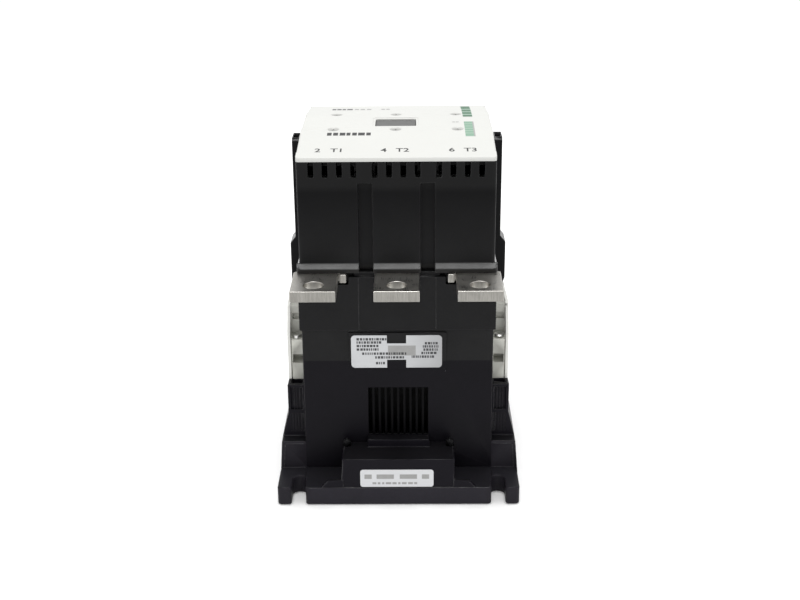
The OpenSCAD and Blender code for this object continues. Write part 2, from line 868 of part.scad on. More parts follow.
// Right-hand tower that guides the link rod beside the arc chamber
module link_tower() {
    foot_z = aux_top_z + 0.1;
    chamfer = 2;
    color(BLACK) difference() {
        union() {
            translate([(tower_in + tower_out) / 2, 0, 0]) along_x((tower_out - tower_in) / 2)
                polygon([
                    [-tower_y, foot_z], [tower_y, foot_z], [tower_y, tower_top_z - chamfer],
                    [tower_y - chamfer, tower_top_z], [-tower_y + chamfer, tower_top_z],
                    [-tower_y, tower_top_z - chamfer]
                ]);
            along_y(tower_y)
                polygon([
                    [tower_in, foot_z], [aux_out - 1.5, foot_z], [aux_out, foot_z + 4],
                    [aux_out, tower_step_z - 4], [tower_out, tower_step_z], [tower_in, tower_step_z]
                ]);
        }
        slab(rod[0] - 0.3, rod[1] + 0.3, -rod_y - 0.3, rod_y + 0.3, foot_z - cut, tower_top_z + cut);
        slab(tower_in - cut, rod[0], -arm_y - arm_side_gap, arm_y + arm_side_gap, arm_way_z[0], arm_way_z[1]);
        slab(tower_in + 0.8, rod[1] + 0.7, -tower_y + 2.2, tower_y - 2.2,
            tower_top_z - 3, tower_top_z + cut);
    }
}

module link_tower_left() mirror([1, 0, 0]) link_tower();
module link_tower_right() link_tower();

// Rod that takes the carrier's motion to the auxiliary contacts
module link_rod() {
    color(GREY) difference() {
        slab(rod[0], rod[1], -rod_y, rod_y, rod_z[0], rod_z[1]);
        slab(rod[0] - cut, arm_x + 0.05, -arm_y - 0.1, arm_y + 0.1, arm_z[0] - 0.1, arm_z[1] + 0.1);
        slab((rod[0] + rod[1]) / 2 - 0.9, (rod[0] + rod[1]) / 2 + 0.9, -rod_y - cut, rod_y + cut,
            aux_bridge_z, aux_bridge_z + 1);
    }
}

module link_rod_left() mirror([1, 0, 0]) link_rod();
module link_rod_right() link_rod();

// ---------- main contacts ----------

// What is taken off below the shoulder of an outer bar
module under_shoulder() {
    slab(shoulder_x[0] - cut, shoulder_x[1] + cut / 2, -shoulder_y - cut, -body_y + 3,
        bar_z - cut, bar_z + shoulder_low);
}

module terminal(pole) {
    tab_x = pole * tab_pitch;
    color(TINNED) difference() {
        translate([0, 0, bar_z]) linear_extrude(tab_t) bar_outline(pole);
        post(tab_x, -tab_hole_y, tab_hole_d / 2, bar_z - cut, deck_z + cut);
        post(pole * pole_pitch, -bar_screw_y, screw_r + 0.1, bar_z - cut, deck_z + cut);
        if (pole > 0) under_shoulder();
        if (pole < 0) mirror([1, 0, 0]) under_shoulder();
    }
}

module load_terminal_1() terminal(-1);
module load_terminal_2() terminal(0);
module load_terminal_3() terminal(1);
module line_terminal_1() mirror([0, 1, 0]) terminal(-1);
module line_terminal_2() mirror([0, 1, 0]) terminal(0);
module line_terminal_3() mirror([0, 1, 0]) terminal(1);

module fixed_tips() {
    color(CONTACT_SILVER) for (pole = poles)
        translate([pole * pole_pitch, -tip_y, 0])
            rounded_slab(16, 10, 1.5, deck_z, tip_top_z);
}

module fixed_tips_load() fixed_tips();
module fixed_tips_line() mirror([0, 1, 0]) fixed_tips();

module terminal_screws() {
    color(ZINC) both_ends() for (pole = poles)
        cross_screw(pole * pole_pitch, -bar_screw_y, 4.4, 2.6, screw_r - 0.05, deck_z,
            bar_z - bar_screw_depth + 0.2);
}

module contact_bridge(pole) {
    color(COPPER) translate([pole * pole_pitch, 0, bridge_z])
        linear_extrude(bridge_t) {
            square([16.4, 2 * bridge_y - 4], center = true);
            both_ends() translate([0, -(bridge_y + 10) / 2]) rounded_rect(19, bridge_y - 10, 2);
        }
}

module contact_bridge_1() contact_bridge(-1);
module contact_bridge_2() contact_bridge(0);
module contact_bridge_3() contact_bridge(1);

module moving_tips(pole) {
    color(CONTACT_SILVER) both_ends()
        translate([pole * pole_pitch, -tip_y, 0])
            rounded_slab(15, 9, 1.5, bridge_z - tip_t, bridge_z);
}

module moving_tips_1() moving_tips(-1);
module moving_tips_2() moving_tips(0);
module moving_tips_3() moving_tips(1);

module contact_spring(pole) {
    color(STEEL) translate([pole * pole_pitch, 0, 0])
        coil_spring(5, 0.8, 6, bridge_z + bridge_t + 0.05, window_top_z - 0.05);
}

module contact_spring_1() contact_spring(-1);
module contact_spring_2() contact_spring(0);
module contact_spring_3() contact_spring(1);

// ---------- contact carrier ----------

module carrier_post(pole) {
    translate([pole * pole_pitch, 0, 0]) {
        difference() {
            centred_slab(post_half_w, post_half_l, carrier_z[1] - cut, post_z);
            centred_slab(8.5, post_half_l + cut, sill_z, window_top_z);
        }
        post(0, 0, 3.2, window_top_z - 4, window_top_z + cut);
    }
}

module contact_carrier() {
    color(DARK) difference() {
        union() {
            centred_slab(carrier_x, carrier_y, carrier_z[0], carrier_z[1]);
            both_sides() slab(carrier_x - cut, arm_x, -arm_y, arm_y, arm_z[0], arm_z[1]);
            for (pole = poles) carrier_post(pole);
            centred_slab(6, 5, post_z - cut, stem_z);
            both_sides() slab(lug_x, lug_x + lug_t, -9, 9, lug_z, carrier_z[0] + cut);
            both_sides() post(return_spring_x, 0, 3.8, carrier_z[0] - 4, carrier_z[0] + cut);
        }
        translate([0, 0, pin_z]) rotate([0, 90, 0])
            cylinder(r = pin_r + 0.02, h = 2 * (lug_x + lug_t + cut), center = true);
    }
}

// ---------- magnet ----------

// E-shaped stack of sheets, its back between two heights and its legs ending at a face
module e_stack(low_z, high_z, back_low_z, back_high_z) {
    legs = [[-core_half_l, -leg_inner_y], [-centre_leg_y, centre_leg_y], [leg_inner_y, core_half_l]];
    along_x(stack_half) {
        translate([-core_half_l, back_low_z]) square([2 * core_half_l, back_high_z - back_low_z]);
        for (leg = legs)
            translate([leg[0], low_z]) square([leg[1] - leg[0], high_z - low_z]);
    }
}

module fixed_core() {
    color(STEEL) e_stack(core_z, core_face_z, core_z, core_z + core_back_t);
}

module armature() {
    color(STEEL) difference() {
        e_stack(armature_face_z, armature_top_z, armature_face_z + armature_leg, armature_top_z);
        translate([0, 0, pin_z]) rotate([0, 90, 0])
            cylinder(r = pin_r + 0.02, h = 2 * (stack_half + cut), center = true);
    }
}

module armature_pin() {
    color(ZINC) translate([0, 0, pin_z]) rotate([0, 90, 0])
        cylinder(r = pin_r, h = 2 * (lug_x + lug_t), center = true);
}

module core_pads() {
    color(DARK) both_ends() slab(-stack_half, stack_half, -50, -28, bay_z, core_z);
}

module coil_bobbin() {
    flange_w = 86;
    flange_l = 73;
    color(CREAM) difference() {
        union() {
            rounded_slab(flange_w, flange_l, 4, coil_z[0], coil_z[0] + coil_flange_t);
            rounded_slab(flange_w, flange_l, 4, coil_z[1] - coil_flange_t, coil_z[1]);
            rounded_slab(45, 31, 2, coil_z[0], coil_z[1]);
        }
        centred_slab(stack_half + 0.3, centre_leg_y + 0.3, coil_z[0] - cut, coil_z[1] + cut);
    }
}

module coil_winding() {
    color(COPPER) difference() {
        rounded_slab(80, 68, 9, coil_z[0] + coil_flange_t, coil_z[1] - coil_flange_t);
        rounded_slab(45, 31, 2, coil_z[0], coil_z[1]);
    }
}

module return_springs() {
    color(STEEL) both_sides() translate([return_spring_x, 0, 0])
        coil_spring(5.8, 0.9, 7, coil_z[1] + 0.05, carrier_z[0] - 0.05);
}

// ---------- coil terminals ----------

module coil_terminal_block() {
    color(LIGHT_GREY) difference() {
        union() {
            slab(-block_half_w, block_half_w, block_y[0], block_y[1], block_z[0], block_z[1] - 5);
            slab(-block_half_w, block_half_w, block_y[0], block_y[0] + 2.5, block_z[0], block_z[1]);
            slab(-1, 1, block_y[0], block_y[1], block_z[0], block_z[1] - 1);
        }
        for (x = [-block_clamp_x, block_clamp_x]) {
            slab(x - 3.6, x + 3.6, block_y[0] + 3, block_y[1] + cut, strip_z + 1.1, strip_z + 6.9);
            post(x, block_screw_y, 2.1, strip_z + 5, block_z[1]);
            slab(x - 2.5, x + 2.5, block_y[0] - cut, block_y[1] - 2, strip_z - 0.1, strip_z + 1.11);
        }
    }
}

// Tinned strips from the clamps into the magnet housing
module coil_terminal_clamps() {
    color(TINNED) for (x = [-block_clamp_x, block_clamp_x])
        slab(x - 2.4, x + 2.4, body_y - wall - 3, block_y[1] - 2.1, strip_z, strip_z + 1);
}

module coil_terminal_screws() {
    color(ZINC) both_sides()
        slotted_screw(block_clamp_x, block_screw_y, 3, 2, 2, block_z[1] - 5, strip_z + 6.1, 70);
}

// ---------- long screws ----------

module housing_screws() {
    color(ZINC) four_corners()
        cross_screw(boss_x, -boss_y, 4, 3.6, screw_r - 0.1, bar_z - boss_head_depth, bay_z + 0.2);
}

module chamber_screws() {
    color(ZINC) four_corners()
        cross_screw(partition_x, -long_screw_y, 4, 2.6, screw_r - 0.1, arc_z - chamber_head_depth,
            bar_z - long_screw_depth + 0.2);
}

// ---------- nodes ----------

base_housing();
magnet_housing();
contact_housing();
arc_chamber();
front_cover();
position_indicator();
type_plate();
base_label();
latch_pins();
aux_module_left();
aux_module_right();
aux_screws_left();
aux_screws_right();
aux_contacts_left();
aux_contacts_right();
aux_bridge_left();
aux_bridge_right();
link_tower_left();
link_tower_right();
link_rod_left();
link_rod_right();
load_terminal_1();
load_terminal_2();
load_terminal_3();
line_terminal_1();
line_terminal_2();
line_terminal_3();
fixed_tips_load();
fixed_tips_line();
contact_bridge_1();
contact_bridge_2();
contact_bridge_3();
moving_tips_1();
moving_tips_2();
moving_tips_3();
contact_spring_1();
contact_spring_2();
contact_spring_3();
contact_carrier();
armature();
armature_pin();
fixed_core();
core_pads();
coil_bobbin();
coil_winding();
return_springs();
coil_terminal_block();
coil_terminal_clamps();
coil_terminal_screws();
quenching_plates_load();
quenching_plates_line();
terminal_screws();
housing_screws();
chamber_screws();
cover_screws();
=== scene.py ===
"""Looks of the contactor: finishes, softened edges, printed marks, round springs, light and camera.

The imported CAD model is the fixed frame. Lengths below are millimetres unless a name says otherwise.
"""
import json
import math
import random

import bmesh
import bpy
from mathutils import Matrix, Vector


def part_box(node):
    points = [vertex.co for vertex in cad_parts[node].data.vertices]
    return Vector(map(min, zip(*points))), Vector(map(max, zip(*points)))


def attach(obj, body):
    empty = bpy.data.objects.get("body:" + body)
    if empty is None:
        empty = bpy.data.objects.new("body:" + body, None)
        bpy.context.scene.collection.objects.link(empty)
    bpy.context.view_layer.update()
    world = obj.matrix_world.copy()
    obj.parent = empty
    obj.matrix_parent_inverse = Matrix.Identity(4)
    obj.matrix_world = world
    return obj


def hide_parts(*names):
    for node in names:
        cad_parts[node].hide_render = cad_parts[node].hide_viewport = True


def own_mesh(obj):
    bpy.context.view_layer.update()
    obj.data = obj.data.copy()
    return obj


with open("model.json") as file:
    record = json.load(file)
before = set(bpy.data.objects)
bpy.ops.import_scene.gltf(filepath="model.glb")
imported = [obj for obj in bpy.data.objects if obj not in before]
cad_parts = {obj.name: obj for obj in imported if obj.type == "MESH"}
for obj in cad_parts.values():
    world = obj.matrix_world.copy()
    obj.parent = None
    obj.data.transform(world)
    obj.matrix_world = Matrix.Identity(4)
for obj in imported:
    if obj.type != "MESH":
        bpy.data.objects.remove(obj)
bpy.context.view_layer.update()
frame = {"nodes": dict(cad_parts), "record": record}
NODES = frame["nodes"]
MM = 0.001
scene = bpy.context.scene


def point(x, y, z):
    """A point given in millimetres, as Blender's metres."""
    return Vector((x, y, z)) * MM


def span(node):
    """Lowest and highest corner of a CAD node, in millimetres."""
    low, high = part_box(node)
    return low / MM, high / MM


# ---------------------------------------------------------------- camera

CAMERA_PLACE = (8.183, -734.921, 383.957)
# Degrees: to the left, down and counter-clockwise
CAMERA_TURN = 0.567
CAMERA_PITCH = 21.637
CAMERA_ROLL = -0.471
CAMERA_LENS = 57.197
CAMERA_SENSOR = 36


def make_camera():
    """The camera, at the angle the contactor is shown from."""
    data = bpy.data.cameras.new("camera")
    data.sensor_width = CAMERA_SENSOR
    data.lens = CAMERA_LENS
    data.clip_start = 0.01
    data.clip_end = 100
    camera = bpy.data.objects.new("camera", data)
    scene.collection.objects.link(camera)
    camera.matrix_world = (
        Matrix.Translation(point(*CAMERA_PLACE))
        @ Matrix.Rotation(math.radians(CAMERA_TURN), 4, "Z")
        @ Matrix.Rotation(math.radians(90 - CAMERA_PITCH), 4, "X")
        @ Matrix.Rotation(math.radians(CAMERA_ROLL), 4, "Z")
    )
    scene.camera = camera


make_camera()

# ---------------------------------------------------------------- material graphs

# Paler edges, which on plastic are painted edge highlights with some wear, start and are full where
# the rounded normal leans this far from the flat one.
EDGE_TURN = (0.02, 0.35)
# Zones of a colour end over this width.
FADE_MM = 0.2
# Scale of Blender's wave texture for one band per unit.
BAND_SCALE = 0.314


class Finish:
    """A procedural material: a node tree around one Principled shader."""

    def __init__(self, name):
        self.material = bpy.data.materials.new(name)
        self.material.use_nodes = True
        self.tree = self.material.node_tree
        self.tree.nodes.clear()
        output = self.add("ShaderNodeOutputMaterial")
        self.shader = self.add("ShaderNodeBsdfPrincipled")
        self.tree.links.new(self.shader.outputs["BSDF"], output.inputs["Surface"])
        self.place = self.add("ShaderNodeTexCoord").outputs["Object"]
        self.normal = None

    def add(self, kind, **settings):
        node = self.tree.nodes.new(kind)
        for key, value in settings.items():
            setattr(node, key, value)
        return node

    def put(self, socket, value):
        """Links a socket to another, or sets its constant."""
        if isinstance(value, bpy.types.NodeSocket):
            self.tree.links.new(value, socket)
        elif isinstance(value, (tuple, list)) and len(value) == 3 and socket.type == "RGBA":
            socket.default_value = (*value, 1)
        else:
            socket.default_value = value

    def set(self, **values):
        """Sets the shader's own sockets. Underscores stand for spaces."""
        for key, value in values.items():
            self.put(self.shader.inputs[key.replace("_", " ")], value)
        return self

    def noise(self, size_mm, detail=2.0, roughness=0.5, distortion=0.0):
        """Noise with blobs of about size_mm: one number, or one for each of X, Y and Z."""
        node = self.add("ShaderNodeTexNoise")
        if isinstance(size_mm, tuple):
            stretch = self.add("ShaderNodeMapping")
            self.put(stretch.inputs["Vector"], self.place)
            stretch.inputs["Scale"].default_value = [1 / (size * MM) for size in size_mm]
            self.put(node.inputs["Vector"], stretch.outputs["Vector"])
            node.inputs["Scale"].default_value = 1
        else:
            self.put(node.inputs["Vector"], self.place)
            node.inputs["Scale"].default_value = 1 / (size_mm * MM)
        node.inputs["Detail"].default_value = detail
        node.inputs["Roughness"].default_value = roughness
        node.inputs["Distortion"].default_value = distortion
        return node.outputs["Fac"]

    def cells(self, size_mm):
        """Rounded cells of about size_mm: 0 in their middles, higher between them."""
        node = self.add("ShaderNodeTexVoronoi", feature="SMOOTH_F1")
        self.put(node.inputs["Vector"], self.place)
        node.inputs["Scale"].default_value = 1 / (size_mm * MM)
        return node.outputs["Distance"]

    def bands(self, size_mm, axis, profile="SIN"):
        """Straight bands, one every size_mm along an axis."""
        node = self.add("ShaderNodeTexWave", bands_direction=axis, wave_profile=profile)
        self.put(node.inputs["Vector"], self.place)
        node.inputs["Scale"].default_value = BAND_SCALE / (size_mm * MM)
        node.inputs["Detail"].default_value = 1
        return node.outputs["Fac"]

    def axis(self, name):
        """X, Y or Z of the place on the object, in metres."""
        node = self.add("ShaderNodeSeparateXYZ")
        self.put(node.inputs["Vector"], self.place)
        return node.outputs[name]

    def facing(self, name):
        """X, Y or Z of the surface's normal."""
        node = self.add("ShaderNodeSeparateXYZ")
        self.put(node.inputs["Vector"], self.add("ShaderNodeNewGeometry").outputs["Normal"])
        return node.outputs[name]

    def along(self, name, start_mm, end_mm):
        """0 before start_mm and 1 past end_mm along an axis."""
        return self.spread(self.axis(name), start_mm * MM, end_mm * MM, 0, 1)

    def away(self, name, start_mm, end_mm):
        """0 near the middle plane across an axis, and 1 past end_mm on both sides of it."""
        return self.spread(self.math("ABSOLUTE", self.axis(name)), start_mm * MM, end_mm * MM, 0, 1)

    def within(self, half_w_mm, low_mm, high_mm):
        """1 in a zone across the middle plane and between two heights, with a narrow fade."""
        across = self.unless(self.away("X", half_w_mm, half_w_mm + FADE_MM))
        above = self.along("Z", low_mm - FADE_MM, low_mm)
        return self.both(self.both(across, above), self.along("Z", high_mm + FADE_MM, high_mm))

    def both(self, a, b):
        """The product of two values, which is 1 only where both are 1."""
        return self.math("MULTIPLY", a, b)

    def either(self, a, b):
        return self.math("MAXIMUM", a, b)

    def unless(self, a):
        return self.math("SUBTRACT", 1.0, a)

    def spread(self, value, from_low, from_high, to_low, to_high):
        """A value taken from one range to another, and held at its ends."""
        node = self.add("ShaderNodeMapRange", clamp=True)
        self.put(node.inputs["Value"], value)
        for name, number in zip(("From Min", "From Max", "To Min", "To Max"),
                                (from_low, from_high, to_low, to_high)):
            node.inputs[name].default_value = number
        return node.outputs["Result"]

    def math(self, operation, a, b=0.0):
        node = self.add("ShaderNodeMath", operation=operation)
        self.put(node.inputs[0], a)
        self.put(node.inputs[1], b)
        return node.outputs["Value"]

    def mix(self, factor, a, b, blend="MIX"):
        """Colour a, and b where the factor is 1."""
        node = self.add("ShaderNodeMix", data_type="RGBA", blend_type=blend)
        self.put(node.inputs["Factor"], factor)
        self.put(node.inputs[6], a)
        self.put(node.inputs[7], b)
        return node.outputs[2]

    def edges(self, radius_mm):
        """1 on outer and inner edges and 0 on open faces."""
        round_normal = self.add("ShaderNodeBevel", samples=4)
        round_normal.inputs["Radius"].default_value = radius_mm * MM
        flat_normal = self.add("ShaderNodeNewGeometry").outputs["Normal"]
        dot = self.add("ShaderNodeVectorMath", operation="DOT_PRODUCT")
        self.put(dot.inputs[0], round_normal.outputs["Normal"])
        self.put(dot.inputs[1], flat_normal)
        turn = self.math("SUBTRACT", 1.0, dot.outputs["Value"])
        return self.spread(turn, *EDGE_TURN, 0, 1)

    def level(self):
        """1 on level tops."""
        return self.spread(self.facing("Z"), 0.8, 0.95, 0, 1)

    def slopes(self):
        """1 on sloped and rounded surfaces that look up, 0 on walls and level tops."""
        rise = self.facing("Z")
        return self.both(self.spread(rise, 0.3, 0.5, 0, 1), self.spread(rise, 0.94, 0.99, 1, 0))

    def bump(self, height, depth_mm, strength):
        """Adds a layer of relief, depth_mm from low to high."""
        node = self.add("ShaderNodeBump")
        node.inputs["Strength"].default_value = strength
        node.inputs["Distance"].default_value = depth_mm * MM
        self.put(node.inputs["Height"], height)
        if self.normal is not None:
            self.put(node.inputs["Normal"], self.normal)
        self.normal = node.outputs["Normal"]
        self.put(self.shader.inputs["Normal"], self.normal)
        return self


def plastic(name, colour, wear_and_highlight_colour, roughness, specular, grain_mm=0.35, grain_depth=0.012,
            wear_and_highlight=0.5, edge_mm=0.9, tone=0.12, slope_gloss=None, unworn_and_unlit=None):
    """Moulded plastic with an eroded grain, uneven gloss, and edges painted paler: painted edge
    highlights with some wear.

    colour is a colour, or a function of the finish that gives one by place. The edge mask, a function
    of the finish, is 1 where no edge is painted paler. slope_gloss is the roughness of sloped and
    rounded surfaces.
    """
    finish = Finish(name)
    cloud = finish.noise(22, detail=4, roughness=0.6)
    patch = finish.noise(5, detail=3, roughness=0.6)
    speck = finish.noise(0.7, detail=1)
    tone_value = finish.math("ADD", finish.spread(cloud, 0.3, 0.7, -tone, tone),
                             finish.spread(speck, 0.3, 0.7, -tone * 0.5, tone * 0.5))
    shade = finish.math("ADD", 1.0, tone_value)
    if callable(colour):
        colour = colour(finish)
    body = finish.mix(1.0, colour, shade, "MULTIPLY")
    # Edges painted paler: painted edge highlights, broken into patches like wear, with some wear.
    edge = finish.edges(edge_mm)
    if unworn_and_unlit:
        edge = finish.both(edge, finish.unless(unworn_and_unlit(finish)))
    broken = finish.spread(patch, 0.35, 0.7, 0.35, 1.0)
    worn_and_lit_edge = finish.both(finish.both(edge, broken), wear_and_highlight)
    body = finish.mix(worn_and_lit_edge, body, wear_and_highlight_colour)
    gloss = finish.math("ADD",
                        finish.spread(cloud, 0.25, 0.75, roughness - 0.05, roughness + 0.06),
                        finish.spread(patch, 0.3, 0.7, -0.03, 0.03))
    gloss = finish.math("SUBTRACT", gloss, finish.both(worn_and_lit_edge, 0.08))
    if slope_gloss:
        gloss = finish.math("SUBTRACT", gloss,
                            finish.both(finish.slopes(), roughness - slope_gloss))
    finish.set(Base_Color=body, Roughness=gloss, IOR=1.46, Specular_IOR_Level=specular)
    finish.bump(finish.cells(grain_mm), grain_depth, 0.6)
    finish.bump(finish.noise(grain_mm * 0.6, detail=2), grain_depth, 0.5)
    finish.bump(cloud, 0.05, 0.25)
    return finish.material


# Sizes of the marks in metal, in millimetres, where there are three along X, Y and Z.
STREAK_LENGTH = 14
SHEAR_MARK = (0.5, 3, 6)
FOIL_STREAK = (30, 0.3, 0.25)


def darker(colour, share):
    """A colour times a share below 1."""
    return tuple(channel * share for channel in colour)


def metal(name, colour, tarnish, roughness, brush, streak_mm=0.12, tarnish_amount=0.5,
          edge=(0.9, 0.88, 0.84), sheared=None):
    """Metal brushed along one axis, with stains, fine scratches and bright rubbed edges.

    sheared is the darker colour of cut end faces, which have upright streaks.
    """
    finish = Finish(name)
    streak_size = tuple(STREAK_LENGTH if axis == brush else streak_mm for axis in "XYZ")
    streak = finish.noise(streak_size, detail=3, roughness=0.65)
    stain = finish.noise(7, detail=5, roughness=0.62, distortion=0.4)
    body = finish.mix(finish.spread(stain, 0.42, 0.72, 0, tarnish_amount), colour, tarnish)
    body = finish.mix(finish.spread(streak, 0.3, 0.75, 0, 0.28), body, tarnish)
    gloss = finish.math("ADD",
                        finish.spread(streak, 0.25, 0.75, roughness - 0.06, roughness + 0.08),
                        finish.spread(stain, 0.3, 0.7, -0.04, 0.08))
    if sheared:
        end = finish.spread(finish.math("ABSOLUTE", finish.facing("Y")), 0.75, 0.95, 0, 1)
        cut = finish.noise(SHEAR_MARK, detail=3, roughness=0.6)
        tone = finish.mix(finish.spread(cut, 0.3, 0.7, 0, 1), sheared, darker(sheared, 0.72))
        body = finish.mix(end, body, tone)
        gloss = finish.math("ADD", gloss, finish.both(end, 0.14))
    body = finish.mix(finish.both(finish.edges(0.5), 0.6), body, edge)
    finish.set(Base_Color=body, Metallic=1.0, Roughness=gloss)
    finish.bump(streak, 0.004, 0.7)
    finish.bump(stain, 0.02, 0.2)
    return finish.material


def laminated(name, colour, dark):
    """Stacked steel sheets 0.5 mm thick: fine dark joints and a varnish tone."""
    finish = Finish(name)
    sheet = finish.bands(0.5, "X", "SAW")
    joint = finish.spread(sheet, 0.0, 0.25, 1, 0)
    stain = finish.noise(6, detail=4, roughness=0.6)
    body = finish.mix(finish.spread(stain, 0.4, 0.7, 0, 0.5), colour, dark)
    body = finish.mix(finish.both(joint, 0.7), body, darker(dark, 0.15))
    finish.set(Base_Color=body, Metallic=0.9, Roughness=finish.spread(stain, 0.3, 0.7, 0.32, 0.52))
    finish.bump(sheet, 0.04, 0.6)
    finish.bump(finish.noise(0.4, detail=2), 0.01, 0.4)
    return finish.material


def taped_winding(name):
    """Winding under dark varnished tape: turns of wire that show as ridges."""
    finish = Finish(name)
    turns = finish.bands(0.62, "Z")
    lap = finish.noise(9, detail=3)
    body = finish.mix(finish.spread(turns, 0, 1, 0, 0.6), (0.030, 0.010, 0.006),
                      (0.070, 0.025, 0.012))
    body = finish.mix(finish.spread(lap, 0.45, 0.7, 0, 0.4), body, (0.020, 0.009, 0.006))
    finish.set(Base_Color=body, Roughness=finish.spread(lap, 0.3, 0.7, 0.25, 0.42),
               Coat_Weight=0.3)
    finish.bump(turns, 0.12, 0.9)
    return finish.material


def foil_plate(name):
    """Silver foil of the type plate, brushed across, a little uneven and duller to the right."""
    finish = Finish(name)
    streak = finish.noise(FOIL_STREAK, detail=3, roughness=0.6)
    cloud = finish.noise(16, detail=3)
    body = finish.mix(finish.spread(streak, 0.25, 0.75, 0, 0.35), (0.54, 0.55, 0.56),
                      (0.42, 0.43, 0.44))
    body = finish.mix(finish.spread(cloud, 0.35, 0.7, 0, 0.3), body, (0.38, 0.385, 0.395))
    body = finish.mix(finish.both(finish.along("X", 2, 26), 0.6), body, (0.25, 0.25, 0.255))
    finish.set(Base_Color=body, Metallic=0.55,
               Roughness=finish.spread(streak, 0.25, 0.75, 0.36, 0.5))
    finish.bump(streak, 0.004, 0.5)
    finish.bump(cloud, 0.08, 0.3)
    return finish.material


def film(name, colour, shade):
    """Printed label film with slight waves."""
    finish = Finish(name)
    cloud = finish.noise(7, detail=3)
    fibre = finish.noise(0.3, detail=2)
    body = finish.mix(finish.spread(cloud, 0.35, 0.7, 0, 0.4), colour, shade)
    finish.set(Base_Color=body, Roughness=finish.spread(fibre, 0.3, 0.7, 0.30, 0.42),
               Specular_IOR_Level=0.4)
    finish.bump(cloud, 0.06, 0.3)
    finish.bump(fibre, 0.006, 0.4)
    return finish.material


def ink(name, colour, pale):
    """Pad-printed ink, thin where the grain of the plastic stands proud."""
    finish = Finish(name)
    grain = finish.noise(0.22, detail=2)
    cloud = finish.noise(3, detail=3)
    body = finish.mix(finish.spread(grain, 0.55, 0.8, 0, 0.5), colour, pale)
    body = finish.mix(finish.spread(cloud, 0.4, 0.75, 0, 0.25), body, pale)
    finish.set(Base_Color=body, Roughness=finish.spread(cloud, 0.3, 0.7, 0.42, 0.55),
               Specular_IOR_Level=0.3)
    finish.bump(grain, 0.004, 0.5)
    return finish.material


def rubber(name):
    """Dull black rubber."""
    finish = Finish(name)
    grain = finish.noise(0.3, detail=3)
    finish.set(Base_Color=finish.mix(grain, (0.012, 0.012, 0.012), (0.03, 0.029, 0.028)),
               Roughness=finish.spread(grain, 0.3, 0.7, 0.65, 0.85))
    finish.bump(grain, 0.03, 0.6)
    return finish.material


# The black housings differ a little in tone, and zones on them are painted paler or darker where
# light and shade fall.
# Heights and distances from the middle plane are millimetres.
CHAMBER_TOP, CHAMBER_LOW = 180, 145
VENT_LOW, VENT_HIGH = 181, 185
FLANGE_TOP, LEDGE_TOP, LEDGE_CLEAR = 138, 141, 143
LEAN_LOW = 80.5
GRILLE_LOW, GRILLE_HIGH, GRILLE_HALF_W = 33.2, 63.7, 17.8
PLATE_ZONE_LOW, PLATE_ZONE_HIGH, PLATE_ZONE_HALF_W = 74.5, 98.6, 29.2
FOOT_TOP = 10.8
SIDE_END_X, SIDE_END_TOP = 50, 30
COLUMN_IN_X, COLUMN_OUT_X = 58, 66.5
BASE_SEAM_X, BASE_SEAM_LOW, BASE_SEAM_HIGH = 55, 11, 28.6
AUX_SKIN_X = 63.1

# Painted shade on level tops.
TOP_SHADE_BLACK = (0.004, 0.004, 0.004)
UPPER_BLACK = (0.0120, 0.0120, 0.0126)


def chamber_colour_and_light(finish):
    """Painted light and shade: painted shade darkening it towards the cover, painted light between
    the vents, on the flange and on its ledge, and painted shade on level tops.
    """
    # Painted shade, darker towards the cover.
    wall = finish.mix(finish.along("Z", CHAMBER_TOP, CHAMBER_LOW), (0.0040, 0.0040, 0.0044),
                      UPPER_BLACK)
    # Painted light on the ribs between the vents.
    wall = finish.mix(finish.along("Z", VENT_LOW, VENT_HIGH), wall, (0.0100, 0.0100, 0.0102))
    # Painted light on the flange's front.
    wall = finish.mix(finish.along("Z", FLANGE_TOP, FLANGE_TOP - 1), wall, (0.020, 0.0195, 0.019))
    # Painted highlight on the flange's sloped ledge, which faces the light above.
    ledge_highlight = finish.both(finish.slopes(), finish.along("Z", LEDGE_CLEAR, LEDGE_TOP))
    wall = finish.mix(ledge_highlight, wall, (0.068, 0.068, 0.068))
    # Painted shade on level tops.
    return finish.mix(finish.level(), wall, TOP_SHADE_BLACK)


def upper_colour_and_shade(finish):
    """Painted shade: darker level tops."""
    return finish.mix(finish.level(), UPPER_BLACK, TOP_SHADE_BLACK)


def in_grille(finish):
    return finish.within(GRILLE_HALF_W - FADE_MM, GRILLE_LOW, GRILLE_HIGH)


def lower_colour_and_light(finish):
    """Paler and neutral where the front leans out, a painted reflection, slightly violet below, and
    painted shade: darkest in the grille, darker on level tops.
    """
    # Painted reflection: the leaning front is paler.
    wall = finish.mix(finish.along("Z", LEAN_LOW, LEAN_LOW + 0.5), (0.0062, 0.0056, 0.0078),
                      (0.0145, 0.0145, 0.0150))
    # Painted shade in the grille's slots.
    wall = finish.mix(in_grille(finish), wall, (0.0010, 0.0009, 0.0014))
    # Painted shade on level tops.
    return finish.mix(finish.level(), wall, (0.003, 0.003, 0.0035))


def base_colour_and_light(finish):
    """Painted light on the foot walls, side wall ends and foot top, which are paler, and painted
    shade on the other tops, which are darker.
    """
    # Painted light on the foot walls.
    wall = finish.mix(finish.along("Z", FOOT_TOP + 0.3, FOOT_TOP), (0.0070, 0.0062, 0.0092),
                      (0.021, 0.0195, 0.025))
    # Painted light on the side wall ends.
    side_end = finish.both(finish.away("X", SIDE_END_X, SIDE_END_X + 3),
                           finish.along("Z", SIDE_END_TOP, SIDE_END_TOP - 2))
    wall = finish.mix(side_end, wall, (0.019, 0.0175, 0.022))
    # Painted light on the foot's top, painted shade on the tops above it.
    foot = finish.along("Z", FOOT_TOP + 1.5, FOOT_TOP + 1)
    top = finish.mix(foot, (0.0080, 0.0076, 0.0090), (0.0155, 0.0148, 0.0180))
    return finish.mix(finish.level(), wall, top)


